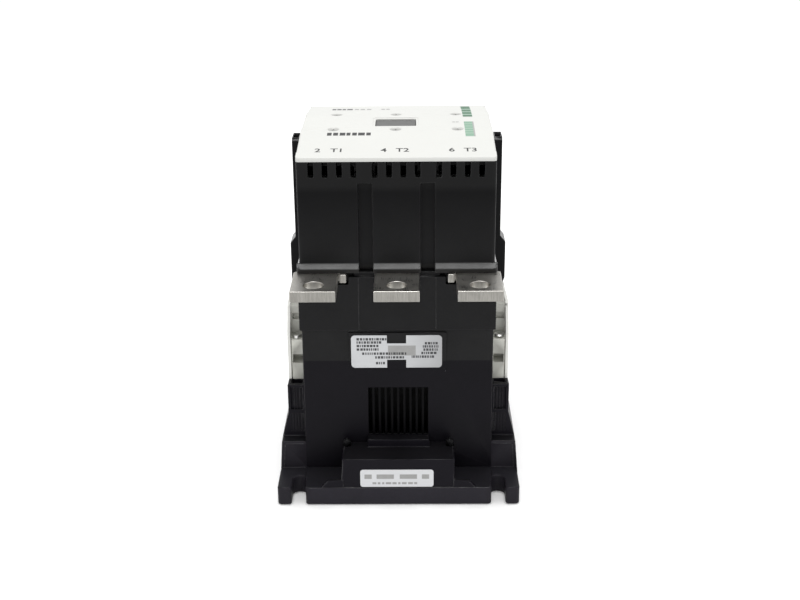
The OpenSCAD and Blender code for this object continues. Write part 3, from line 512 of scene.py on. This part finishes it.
def aux_colour_and_light(finish):
    """Painted light: paler outer walls."""
    return finish.mix(finish.away("X", AUX_SKIN_X, AUX_SKIN_X + FADE_MM), (0.57, 0.57, 0.52),
                      (0.80, 0.80, 0.76))


def seam(finish):
    """1 near the flush seam between the base's columns and the lower housing."""
    inner = finish.away("X", BASE_SEAM_X - 1 - FADE_MM, BASE_SEAM_X - 1)
    outer = finish.away("X", BASE_SEAM_X + 1, BASE_SEAM_X + 1 + FADE_MM)
    beside = finish.both(inner, finish.unless(outer))
    return finish.both(beside, finish.along("Z", BASE_SEAM_HIGH + 1, BASE_SEAM_HIGH))


def lower_unlit_edges(finish):
    """1 where no edge highlight is painted: at the seam, in the grille and round the type plate."""
    round_plate = finish.within(PLATE_ZONE_HALF_W, PLATE_ZONE_LOW, PLATE_ZONE_HIGH)
    return finish.either(seam(finish), finish.either(in_grille(finish), round_plate))


def base_unlit_edges(finish):
    """1 where no edge highlight is painted: at the seam, and most of the way there on the faces of
    the side columns.
    """
    inner = finish.away("X", COLUMN_IN_X - 0.5, COLUMN_IN_X)
    outer = finish.away("X", COLUMN_OUT_X, COLUMN_OUT_X + 0.5)
    above = finish.along("Z", BASE_SEAM_HIGH + 1.5, BASE_SEAM_HIGH + 2)
    column = finish.both(finish.both(inner, finish.unless(outer)), above)
    return finish.either(seam(finish), finish.both(column, 0.7))


def black(name, colour=(0.0085, 0.0085, 0.0092), unworn_and_unlit=None, wear_and_highlight=0.85):
    """Black housing plastic."""
    # Its pale edges are painted edge highlights, broken into patches like wear.
    return plastic(name, colour, (0.24, 0.24, 0.245), 0.40, 0.09, wear_and_highlight=wear_and_highlight, edge_mm=0.7,
                   slope_gloss=0.2, unworn_and_unlit=unworn_and_unlit)


LOOKS = {
    "black_plastic": black("black_plastic"),
    "white_plastic": plastic("white_plastic", (0.565, 0.568, 0.545), (0.62, 0.62, 0.60), 0.42,
                             0.35, grain_depth=0.008, wear_and_highlight=0.3, tone=0.012),
    "grey_plastic": plastic("grey_plastic", (0.098, 0.099, 0.097), (0.18, 0.18, 0.18), 0.45,
                            0.3, grain_depth=0.008, tone=0.05),
    "light_grey_plastic": plastic("light_grey_plastic", (0.42, 0.42, 0.375), (0.54, 0.54, 0.50),
                                  0.42, 0.35, grain_depth=0.008, tone=0.04),
    "carrier_plastic": plastic("carrier_plastic", (0.030, 0.026, 0.022), (0.07, 0.065, 0.055),
                               0.48, 0.3, grain_mm=0.5, tone=0.2),
    "bobbin_plastic": plastic("bobbin_plastic", (0.010, 0.010, 0.010), (0.03, 0.03, 0.03), 0.5,
                              0.1, grain_mm=0.5, tone=0.05),
    "label_foil": foil_plate("label_foil"),
    "label_paper": film("label_paper", (0.62, 0.625, 0.64), (0.57, 0.575, 0.59)),
    "tinned_copper": metal("tinned_copper", (0.60, 0.585, 0.55), (0.40, 0.385, 0.35), 0.30, "Y",
                           tarnish_amount=0.6, sheared=(0.34, 0.33, 0.305)),
    "copper": metal("copper", (0.83, 0.44, 0.29), (0.42, 0.19, 0.11), 0.28, "Y",
                    tarnish_amount=0.7, edge=(0.95, 0.62, 0.46)),
    "contact_silver": metal("contact_silver", (0.86, 0.85, 0.82), (0.58, 0.56, 0.50), 0.34, "X",
                            tarnish_amount=0.4),
    "sheet_steel": laminated("sheet_steel", (0.36, 0.37, 0.39), (0.22, 0.22, 0.235)),
    "spring_steel": metal("spring_steel", (0.60, 0.61, 0.63), (0.38, 0.38, 0.39), 0.22, "Z",
                          streak_mm=0.3, tarnish_amount=0.4),
    "zinc_plated_steel": metal("zinc_plated_steel", (0.66, 0.67, 0.66), (0.48, 0.47, 0.42), 0.30,
                               "X", streak_mm=0.3),
    "winding": taped_winding("winding"),
    "rubber": rubber("rubber"),
}
varnished_core = laminated("varnished_core", (0.008, 0.008, 0.008), (0.005, 0.005, 0.005))
aux_plastic = plastic("aux_plastic", aux_colour_and_light, (0.66, 0.66, 0.62), 0.42, 0.35,
                      grain_depth=0.008, tone=0.04)
# Nodes whose look differs from that of their material slot.
NODE_LOOKS = {
    "arc_chamber": black("black_chamber", chamber_colour_and_light),
    "contact_housing": black("black_upper", upper_colour_and_shade, wear_and_highlight=0.5),
    "magnet_housing": black("black_lower", lower_colour_and_light, lower_unlit_edges),
    "base_housing": black("black_base", base_colour_and_light, base_unlit_edges),
    "cover_screws": plastic("screw_grey", (0.38, 0.38, 0.365), (0.42, 0.42, 0.41), 0.45, 0.3,
                            grain_depth=0.006, tone=0.04),
    "fixed_core": varnished_core,
    "armature": varnished_core,
    "aux_module_left": aux_plastic,
    "aux_module_right": aux_plastic,
}
DARK_INK = ink("dark_ink", (0.030, 0.031, 0.032), (0.10, 0.10, 0.10))
MID_INK = ink("mid_ink", (0.10, 0.10, 0.105), (0.24, 0.24, 0.24))
PALE_INK = ink("pale_ink", (0.30, 0.30, 0.295), (0.42, 0.42, 0.41))
DARK_GREEN_INK = ink("dark_green_ink", (0.055, 0.135, 0.080), (0.13, 0.24, 0.17))
MID_GREEN_INK = ink("mid_green_ink", (0.19, 0.32, 0.235), (0.28, 0.40, 0.325))
LIGHT_GREEN_INK = ink("light_green_ink", (0.33, 0.44, 0.365), (0.42, 0.50, 0.445))
PLATE_INK = ink("plate_ink", (0.045, 0.045, 0.048), (0.14, 0.14, 0.145))

# ---------------------------------------------------------------- CAD nodes: finish and soft edges


class Nodes:
    """A geometry node tree with one geometry in and one out."""

    def __init__(self, name):
        self.group = bpy.data.node_groups.new(name, "GeometryNodeTree")
        for way in ("INPUT", "OUTPUT"):
            self.group.interface.new_socket("Geometry", in_out=way,
                                            socket_type="NodeSocketGeometry")
        self.geometry = self.add("NodeGroupInput").outputs[0]

    def add(self, kind, **settings):
        node = self.group.nodes.new(kind)
        for key, value in settings.items():
            setattr(node, key, value)
        return node

    def put(self, socket, value):
        if isinstance(value, bpy.types.NodeSocket):
            self.group.links.new(value, socket)
        else:
            socket.default_value = value

    def math(self, operation, a, b=0.0):
        node = self.add("ShaderNodeMath", operation=operation)
        self.put(node.inputs[0], a)
        self.put(node.inputs[1], b)
        return node.outputs[0]

    def vector(self, operation, a, b=(0, 0, 0), scale=1.0):
        node = self.add("ShaderNodeVectorMath", operation=operation)
        self.put(node.inputs[0], a)
        if operation == "SCALE":
            self.put(node.inputs["Scale"], scale)
        else:
            self.put(node.inputs[1], b)
        return node.outputs["Vector"]

    def face_vector(self, value, face):
        """A vector field's value on one face."""
        there = self.add("GeometryNodeFieldAtIndex", domain="FACE", data_type="FLOAT_VECTOR")
        self.put(there.inputs["Index"], face)
        self.put(there.inputs["Value"], value)
        return there.outputs[0]

    def finish(self, geometry):
        self.put(self.add("NodeGroupOutput").inputs[0], geometry)
        return self.group


# An edge is rounded where the faces beside it are free for this many widths of the rounding.
FREE_WIDTHS = 2.3
# The free face is looked for at these shares of the edge's length.
PROBE_SHARES = (0.08, 0.5, 0.92)
# The probing rays start this far from the edge, and run this far over and under the face.
SKIN_MM = 0.04
SEAM_REACH_MM = 0.15


def edge_weight_group(name, width_mm, sharp_degrees, seamed):
    """Geometry nodes that choose the edges to round: weight 1, or 0 where it stays as it is.

    An edge is rounded if it is sharp and both faces beside it have room for the rounding. Rays
    just under and just over each face, square to the edge, find how far that face goes. The flush
    seam of the base columns stays sharp.
    """
    nodes = Nodes(name)
    ends = nodes.add("GeometryNodeInputMeshEdgeVertices")
    first, second = ends.outputs["Position 1"], ends.outputs["Position 2"]
    edge_way = nodes.vector("NORMALIZE", nodes.vector("SUBTRACT", second, first))
    normal = nodes.add("GeometryNodeInputNormal").outputs[0]
    blocked = 0.0
    for side in (0, 1):
        corner = nodes.add("GeometryNodeCornersOfEdge")
        nodes.put(corner.inputs["Sort Index"], side)
        face = nodes.add("GeometryNodeFaceOfCorner")
        nodes.put(face.inputs["Corner Index"], corner.outputs["Corner Index"])
        start = nodes.add("GeometryNodeVertexOfCorner")
        nodes.put(start.inputs["Corner Index"], corner.outputs["Corner Index"])
        face_normal = nodes.face_vector(normal, face.outputs["Face Index"])
        same = nodes.add("FunctionNodeCompare", data_type="INT", operation="EQUAL")
        nodes.put(same.inputs[2], start.outputs[0])
        nodes.put(same.inputs[3], ends.outputs["Vertex Index 1"])
        sign = nodes.math("SUBTRACT", nodes.math("MULTIPLY", same.outputs[0], 2.0), 1.0)
        square = nodes.vector("CROSS_PRODUCT", face_normal, edge_way)
        inward = nodes.vector("SCALE", square, scale=sign)
        for share in PROBE_SHARES:
            spot = nodes.vector("ADD", nodes.vector("SCALE", first, scale=1 - share),
                                nodes.vector("SCALE", second, scale=share))
            spot = nodes.vector("ADD", spot, nodes.vector("SCALE", inward, scale=SKIN_MM * MM))
            for lift in (-SKIN_MM, SKIN_MM):
                ray = nodes.add("GeometryNodeRaycast")
                nodes.put(ray.inputs["Target Geometry"], nodes.geometry)
                offset = nodes.vector("SCALE", face_normal, scale=lift * MM)
                nodes.put(ray.inputs["Source Position"], nodes.vector("ADD", spot, offset))
                nodes.put(ray.inputs["Ray Direction"], inward)
                nodes.put(ray.inputs["Ray Length"], FREE_WIDTHS * width_mm * MM)
                blocked = nodes.math("MAXIMUM", blocked, ray.outputs["Is Hit"])
    angle = nodes.add("GeometryNodeInputMeshEdgeAngle").outputs["Unsigned Angle"]
    weight = nodes.math("MULTIPLY", nodes.math("SUBTRACT", 1.0, blocked),
                        nodes.math("GREATER_THAN", angle, math.radians(sharp_degrees)))
    if seamed:
        place = nodes.add("ShaderNodeSeparateXYZ")
        nodes.put(place.inputs[0], nodes.add("GeometryNodeInputPosition").outputs[0])
        side = nodes.math("ABSOLUTE", place.outputs["X"])
        off_seam = nodes.math("SUBTRACT", side, BASE_SEAM_X * MM)
        near = nodes.math("LESS_THAN", nodes.math("ABSOLUTE", off_seam), SEAM_REACH_MM * MM)
        top, foot = BASE_SEAM_HIGH + SEAM_REACH_MM, BASE_SEAM_LOW - SEAM_REACH_MM
        below = nodes.math("LESS_THAN", place.outputs["Z"], top * MM)
        above = nodes.math("GREATER_THAN", place.outputs["Z"], foot * MM)
        on_seam = nodes.math("MULTIPLY", near, nodes.math("MULTIPLY", below, above))
        weight = nodes.math("MULTIPLY", weight, nodes.math("SUBTRACT", 1.0, on_seam))
    store = nodes.add("GeometryNodeStoreNamedAttribute", data_type="FLOAT", domain="EDGE")
    nodes.put(store.inputs["Geometry"], nodes.geometry)
    nodes.put(store.inputs["Name"], "bevel_weight_edge")
    nodes.put(store.inputs["Value"], weight)
    return nodes.finish(store.outputs["Geometry"])


def smooth_shading_group():
    """Geometry nodes that only turn on smooth shading, for meshes that may not be edited."""
    nodes = Nodes("smooth_shading")
    smooth = nodes.add("GeometryNodeSetShadeSmooth")
    nodes.put(smooth.inputs["Geometry"], nodes.geometry)
    return nodes.finish(smooth.outputs[0])


SMOOTH_GROUP = smooth_shading_group()
WEIGHT_GROUPS = {}
SEAMED = {"base_housing", "magnet_housing"}
# Their large faces with holes are split before the rounding, which keeps them flat.
TRIANGULATED = {"base_housing", "contact_housing", "front_cover"}

# Edges that turn by more degrees than this are rounded, and faces that turn by less are one.
WIDE_ANGLE, FINE_ANGLE = 28, 46
FLAT_ANGLE = 0.4
WIDE_SEGMENTS, FINE_SEGMENTS = 3, 2
JOIN_DISTANCE_MM = 0.002

# Width of the rounding by node, and for the other nodes and the narrow places
SMALL_EDGE_MM = 0.12
EDGE_MM = {
    "base_housing": 0.7, "magnet_housing": 0.5, "contact_housing": 0.4, "arc_chamber": 0.5,
    "front_cover": 1.1, "position_indicator": 0.25, "base_label": 0.1, "latch_pins": 0.1,
    "aux_module_left": 0.25, "aux_module_right": 0.25, "link_tower_left": 0.3,
    "link_tower_right": 0.3, "contact_carrier": 0.3, "fixed_core": 0.25, "armature": 0.25,
    "coil_bobbin": 0.35, "coil_winding": 0.8, "coil_terminal_block": 0.25,
}
for pole in (1, 2, 3):
    EDGE_MM[f"load_terminal_{pole}"] = EDGE_MM[f"line_terminal_{pole}"] = 0.3
UNSOFTENED = {"return_springs", "contact_spring_1", "contact_spring_2", "contact_spring_3"}


def round_edges(obj, node, width_mm, segments, sharp_degrees):
    """Rounds the edges that have room for it, through a weight on each edge."""
    key = (width_mm, sharp_degrees, node in SEAMED)
    if key not in WEIGHT_GROUPS:
        WEIGHT_GROUPS[key] = edge_weight_group(f"edge_weights_{len(WEIGHT_GROUPS)}", *key)
    weights = obj.modifiers.new("edge_weights", "NODES")
    weights.node_group = WEIGHT_GROUPS[key]
    bevel = obj.modifiers.new("soft_edges", "BEVEL")
    bevel.width = width_mm * MM
    bevel.segments = segments
    bevel.limit_method = "WEIGHT"
    bevel.use_clamp_overlap = False
    bevel.loop_slide = False


def soften(obj, node, width_mm):
    """Joins the split corners, then rounds the edges: widely where there is room, else finely."""
    weld = obj.modifiers.new("join_corners", "WELD")
    weld.merge_threshold = JOIN_DISTANCE_MM * MM
    flat = obj.modifiers.new("flat_faces", "DECIMATE")
    flat.decimate_type = "DISSOLVE"
    flat.angle_limit = math.radians(FLAT_ANGLE)
    if node in TRIANGULATED:
        obj.modifiers.new("split_faces", "TRIANGULATE")
    round_edges(obj, node, width_mm, WIDE_SEGMENTS, WIDE_ANGLE)
    if width_mm > 2 * SMALL_EDGE_MM:
        round_edges(obj, node, SMALL_EDGE_MM, FINE_SEGMENTS, FINE_ANGLE)
    smooth = obj.modifiers.new("smooth", "NODES")
    smooth.node_group = SMOOTH_GROUP
    normals = obj.modifiers.new("even_normals", "WEIGHTED_NORMAL")
    normals.keep_sharp = False
    normals.weight = 100


for part in frame["record"]["subparts"]:
    node = NODES[part["node"]]
    node.data.materials.clear()
    node.data.materials.append(NODE_LOOKS.get(part["node"], LOOKS[part["material_slot"]]))
    if part["node"] not in UNSOFTENED:
        soften(node, part["node"], EDGE_MM.get(part["node"], SMALL_EDGE_MM))

# ---------------------------------------------------------------- printed marks


def new_piece(name, mesh, material, body):
    """A mesh with one material, riding on a body."""
    mesh.materials.clear()
    mesh.materials.append(material)
    obj = bpy.data.objects.new(name, mesh)
    scene.collection.objects.link(obj)
    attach(obj, body)
    return obj


# Ink lies this far off its surface, and a wash under other ink half as far.
INK_LIFT = 0.03

# The crowned top of the front cover, an arc along Y
cover_low, cover_high = span("front_cover")
CROWN_H = 5.5
CROWN_HALF_L = (cover_high.y - cover_low.y) / 2
CROWN_R = (CROWN_HALF_L ** 2 + CROWN_H ** 2) / (2 * CROWN_H)

PLATE_FACE_Y = span("type_plate")[0].y - INK_LIFT

# The base label leans with the face under it, by its depth less its own thickness.
label_low, label_high = span("base_label")
LABEL_THICKNESS = 0.4
LABEL_LEAN = (label_high.y - label_low.y) - LABEL_THICKNESS


def on_crown(u, v):
    return (u, v, cover_high.z - CROWN_R + math.sqrt(CROWN_R ** 2 - v ** 2) + INK_LIFT)


def under_crown(u, v):
    return (u, v, on_crown(u, v)[2] - INK_LIFT / 2)


def on_plate(u, v):
    return (u, PLATE_FACE_Y, v)


def under_plate(u, v):
    return (u, PLATE_FACE_Y + INK_LIFT / 2, v)


def on_label(u, v):
    share = (v - label_low.z) / (label_high.z - label_low.z)
    return (u, label_low.y + LABEL_LEAN * share - INK_LIFT, v)


def print_on(name, outlines, place, material, step=3.0):
    """Prints flat outlines, given as lists of (u, v), on a surface of the housing.

    Outlines are cut every step along v, so that they bend with the surface.
    """
    bm = bmesh.new()
    for outline in outlines:
        bm.faces.new([bm.verts.new((u, v, 0)) for u, v in outline])
    low = min(v for outline in outlines for _, v in outline)
    high = max(v for outline in outlines for _, v in outline)
    cut = low + step
    while cut < high:
        bmesh.ops.bisect_plane(bm, geom=bm.verts[:] + bm.edges[:] + bm.faces[:],
                               plane_co=(0, cut, 0), plane_no=(0, 1, 0))
        cut += step
    for vert in bm.verts:
        vert.co = point(*place(vert.co.x, vert.co.y))
    bm.normal_update()
    mesh = bpy.data.meshes.new(name)
    bm.to_mesh(mesh)
    bm.free()
    return new_piece(name, mesh, material, "housing")


def bar(u0, u1, v0, v1):
    """A rectangle's outline."""
    return [(u0, v0), (u1, v0), (u1, v1), (u0, v1)]


MARK_SIZE = 6.8
MARK_BOLD = 0.10
MARK_V = -54.4
NUMBER_U = (-43.5, -6.9, 30.7)
TERMINAL_U = (-32.7, 3.5, 41.1)


def letters(text, centre_u, base_v):
    """Outlines of generic characters as triangles, centred on centre_u."""
    curve = bpy.data.curves.new("letters", "FONT")
    curve.body = text
    curve.size = MARK_SIZE
    curve.offset = MARK_BOLD
    curve.align_x = "CENTER"
    curve.resolution_u = 6
    holder = bpy.data.objects.new("letters", curve)
    scene.collection.objects.link(holder)
    bpy.context.view_layer.update()
    evaluated = holder.evaluated_get(bpy.context.evaluated_depsgraph_get())
    mesh = bpy.data.meshes.new_from_object(evaluated)
    outlines = []
    for face in mesh.polygons:
        corners = [mesh.vertices[index].co for index in face.vertices]
        outlines.append([(centre_u + co.x, base_v + co.y) for co in corners])
    bpy.data.meshes.remove(mesh)
    bpy.data.objects.remove(holder)
    bpy.data.curves.remove(curve)
    return outlines


def terminal_marks():
    """The generic numbers of the three load terminals."""
    marks = []
    for pole in range(3):
        marks += letters(str(2 * pole + 2), NUMBER_U[pole], MARK_V)
        marks += letters(f"T{pole + 1}", TERMINAL_U[pole], MARK_V)
    print_on("marks_load", marks, on_crown, DARK_INK)


GREEN_U = (39.2, 44.8)
GREEN_BACK_V = ((10.1, 15.6), (18.0, 24.7), (27.0, 35.0), (37.9, 53.2))
GREEN_FRONT_V = (-2.7, -8.2, -13.2, -18.0, -22.5, -26.7, -32.0)
GREEN_GAP, GREEN_EDGE = 0.9, 0.8


def green_columns():
    """Two columns of plain green bars beside the back and front right screws."""
    u0, u1 = GREEN_U
    edge_u = u1 - GREEN_EDGE
    back = [bar(u0, u1, low, high) for low, high in GREEN_BACK_V]
    front = [bar(u0, edge_u, low + GREEN_GAP, high)
             for high, low in zip(GREEN_FRONT_V, GREEN_FRONT_V[1:])]
    wash_back = [bar(u0, u1, GREEN_BACK_V[0][0], GREEN_BACK_V[-1][1])]
    wash_front = [bar(u0, u1, GREEN_FRONT_V[-1], GREEN_FRONT_V[0])]
    edge = [bar(edge_u, u1, GREEN_FRONT_V[-1], GREEN_FRONT_V[0])]
    print_on("green_bars_back", back, on_crown, DARK_GREEN_INK)
    print_on("green_wash_back", wash_back, under_crown, LIGHT_GREEN_INK)
    print_on("green_bars_front", front, on_crown, MID_GREEN_INK)
    print_on("green_wash_front", wash_front, under_crown, LIGHT_GREEN_INK)
    print_on("green_edge_front", edge, on_crown, PALE_INK)


def dashes(u0, u1, v, height, seed, short, long, gap):
    """A row of plain dashes, short to long, where the real one has print."""
    draw = random.Random(seed)
    row, u = [], u0
    while u < u1 - short:
        end = min(u + draw.uniform(short, long), u1)
        row.append(bar(u, end, v, v + height))
        u = end + gap * draw.uniform(0.8, 1.4)
    return row


def cover_print():
    """Plain dashes that stand for the printed lines left out."""
    front = dashes(-39.6, -14.7, -29.5, 5.0, 3, 2.2, 3.8, 0.8)
    back = dashes(-40.2, -27.0, 35.5, 6.0, 4, 2.0, 3.6, 0.7)
    faint = dashes(-26.4, -13.7, 36.0, 4.6, 5, 1.6, 3.0, 0.9)
    faint += dashes(-10.0, -4.8, 37.0, 4.0, 6, 1.8, 2.4, 0.6)
    small = dashes(32.4, 37.2, -4.4, 1.6, 7, 1.4, 2.0, 0.5)
    print_on("cover_dashes_front", front, on_crown, DARK_INK)
    print_on("cover_dashes_back", back, on_crown, MID_INK)
    print_on("cover_dashes_faint", faint + small, on_crown, PALE_INK)


# Rows of small print on the type plate: height of the row's middle, start and end
PLATE_ROWS = (
    (94.6, -23.6, -6.4), (92.6, -23.6, -9.4), (90.4, -23.6, -10.0), (88.2, -23.6, -11.0),
    (85.6, -20.5, 5.0), (83.2, -13.0, 4.0), (79.6, -12.6, -7.4),
    (92.0, 15.6, 23.0), (90.0, 14.4, 23.4), (88.0, 14.8, 23.4), (85.9, 13.6, 23.0),
    (83.6, 8.0, 21.4),
)
PLATE_ROW_H = 1.5
PLATE_FIRST_SEED = 20
# A flat face needs no cuts.
UNCUT = 30


def plate_print():
    """Rows of dashes and a pale field in the middle."""
    rows = []
    for seed, (v, u0, u1) in enumerate(PLATE_ROWS, PLATE_FIRST_SEED):
        rows += dashes(u0, u1, v - PLATE_ROW_H / 2, PLATE_ROW_H, seed, 0.5, 1.6, 0.42)
    field = [bar(-5.6, 10.4, 84.4, 90.6)]
    print_on("plate_dashes", rows, on_plate, PLATE_INK, UNCUT)
    print_on("plate_field", field, under_plate, PALE_INK, UNCUT)


LABEL_BARS_U = ((-19.6, -15.4), (-12.6, -2.6), (0.8, 10.8), (13.6, 17.8))
LABEL_BARS_V = (16.6, 19.4)


def label_print():
    """Four bars and a row of dashes on the base label."""
    rows = [bar(u0, u1, *LABEL_BARS_V) for u0, u1 in LABEL_BARS_U]
    rows += dashes(-15, 11, 13.2, 1.3, 9, 1.2, 3.4, 0.8)
    print_on("label_dashes", rows, on_label, PALE_INK, UNCUT)


terminal_marks()
green_columns()
cover_print()
plate_print()
label_print()

# ---------------------------------------------------------------- springs of round wire


STEPS_PER_TURN, WIRE_SIDES = 40, 12
CLOSED_TURNS = 0.9


def spring_mesh(name, centres, mean_r, wire_r, turns, z0, z1):
    """Helices of round wire with closed end turns, one at each (x, y) centre."""
    bm = bmesh.new()
    rise_ends = 2 * wire_r * CLOSED_TURNS
    pitch = (z1 - z0 - 2 * wire_r - 2 * rise_ends) / (turns - 2 * CLOSED_TURNS)
    steps = int(turns * STEPS_PER_TURN)

    def height(t):
        """Height of the wire's middle over the lowest one, t turns up."""
        if t < CLOSED_TURNS:
            return 2 * wire_r * t
        if t > turns - CLOSED_TURNS:
            return z1 - z0 - 2 * wire_r - 2 * wire_r * (turns - t)
        return rise_ends + pitch * (t - CLOSED_TURNS)

    for cx, cy in centres:
        rings = []
        for s in range(steps + 1):
            t = s / STEPS_PER_TURN
            angle = 2 * math.pi * t
            slope = math.atan2(height(min(t + 0.01, turns)) - height(max(t - 0.01, 0)),
                               2 * math.pi * mean_r * 0.02)
            ring = []
            for i in range(WIRE_SIDES):
                a = 2 * math.pi * i / WIRE_SIDES
                radial, lift = wire_r * math.cos(a), wire_r * math.sin(a)
                r = mean_r + radial
                along = -lift * math.sin(slope)
                x = r * math.cos(angle) - along * math.sin(angle)
                y = r * math.sin(angle) + along * math.cos(angle)
                z = z0 + wire_r + height(t) + lift * math.cos(slope)
                ring.append(bm.verts.new(point(cx + x, cy + y, z)))
            rings.append(ring)
        for a, b in zip(rings, rings[1:]):
            for i in range(WIRE_SIDES):
                j = (i + 1) % WIRE_SIDES
                bm.faces.new((a[i], b[i], b[j], a[j]))
        bm.faces.new(rings[0])
        bm.faces.new(list(reversed(rings[-1])))
    bmesh.ops.recalc_face_normals(bm, faces=bm.faces[:])
    for face in bm.faces:
        face.smooth = len(face.verts) == 4
    mesh = bpy.data.meshes.new(name)
    bm.to_mesh(mesh)
    bm.free()
    return mesh


# Mean radius, wire radius and turns
RETURN_SPRING = (5.8, 0.9, 7)
CONTACT_SPRING = (5, 0.8, 6)
RETURN_SPRINGS_AT = ((-32, 0), (32, 0))


def make_springs():
    """Springs of round wire in place of the CAD ones."""
    steel = LOOKS["spring_steel"]
    low, high = span("return_springs")
    mesh = spring_mesh("return_spring_wire", RETURN_SPRINGS_AT, *RETURN_SPRING, low.z, high.z)
    piece = new_piece("return_spring_wire", mesh, steel, "housing")
    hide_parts("return_springs")
    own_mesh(piece)
    for pole in (1, 2, 3):
        node, slide = f"contact_spring_{pole}", f"bridge_{pole}_slide"
        low, high = span(node)
        centre = ((low.x + high.x) / 2, (low.y + high.y) / 2)
        name = f"contact_spring_wire_{pole}"
        mesh = spring_mesh(name, [centre], *CONTACT_SPRING, low.z, high.z)
        piece = new_piece(name, mesh, steel, "carrier")
        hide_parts(node)
        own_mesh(piece)


make_springs()

# ---------------------------------------------------------------- floor and light


# Metres here, as the floor and the softbox are large.
FLOOR_HALF = 8
FLOOR_DROP = 0.0003
WORLD_STRENGTH = 0.95
SOFTBOX_PLACE, SOFTBOX_AIM = (0, 0, 1.7), (0, 0, 0.1)
SOFTBOX_SIZE = (0.5, 0.4)
SOFTBOX_WATTS = 16


def make_floor():
    """A nearly white floor, which glows a little so that it ends up as pale as the backdrop."""
    finish = Finish("floor")
    cloud = finish.noise(400)
    finish.set(Base_Color=finish.mix(cloud, (0.94, 0.94, 0.94), (0.95, 0.95, 0.95)),
               Roughness=0.9, Specular_IOR_Level=0.1, Emission_Color=(1, 1, 1),
               Emission_Strength=0.08)
    bm = bmesh.new()
    bmesh.ops.create_grid(bm, x_segments=8, y_segments=8, size=FLOOR_HALF)
    mesh = bpy.data.meshes.new("floor")
    bm.to_mesh(mesh)
    bm.free()
    mesh.materials.append(finish.material)
    floor = bpy.data.objects.new("floor", mesh)
    floor.location = (0, 0, -FLOOR_DROP)
    scene.collection.objects.link(floor)


def make_light():
    """An even white studio and one soft box overhead."""
    world = bpy.data.worlds.new("studio")
    world.use_nodes = True
    background = world.node_tree.nodes["Background"]
    background.inputs["Color"].default_value = (1, 1, 1, 1)
    background.inputs["Strength"].default_value = WORLD_STRENGTH
    scene.world = world
    data = bpy.data.lights.new("softbox_top", "AREA")
    data.shape = "RECTANGLE"
    data.size, data.size_y = SOFTBOX_SIZE
    data.energy = SOFTBOX_WATTS
    softbox = bpy.data.objects.new("softbox_top", data)
    softbox.location = SOFTBOX_PLACE
    aim = Vector(SOFTBOX_AIM) - Vector(SOFTBOX_PLACE)
    softbox.rotation_euler = aim.to_track_quat("-Z", "Y").to_euler()
    scene.collection.objects.link(softbox)
    scene.view_settings.view_transform = "Standard"
    scene.view_settings.look = "None"


make_floor()
make_light()
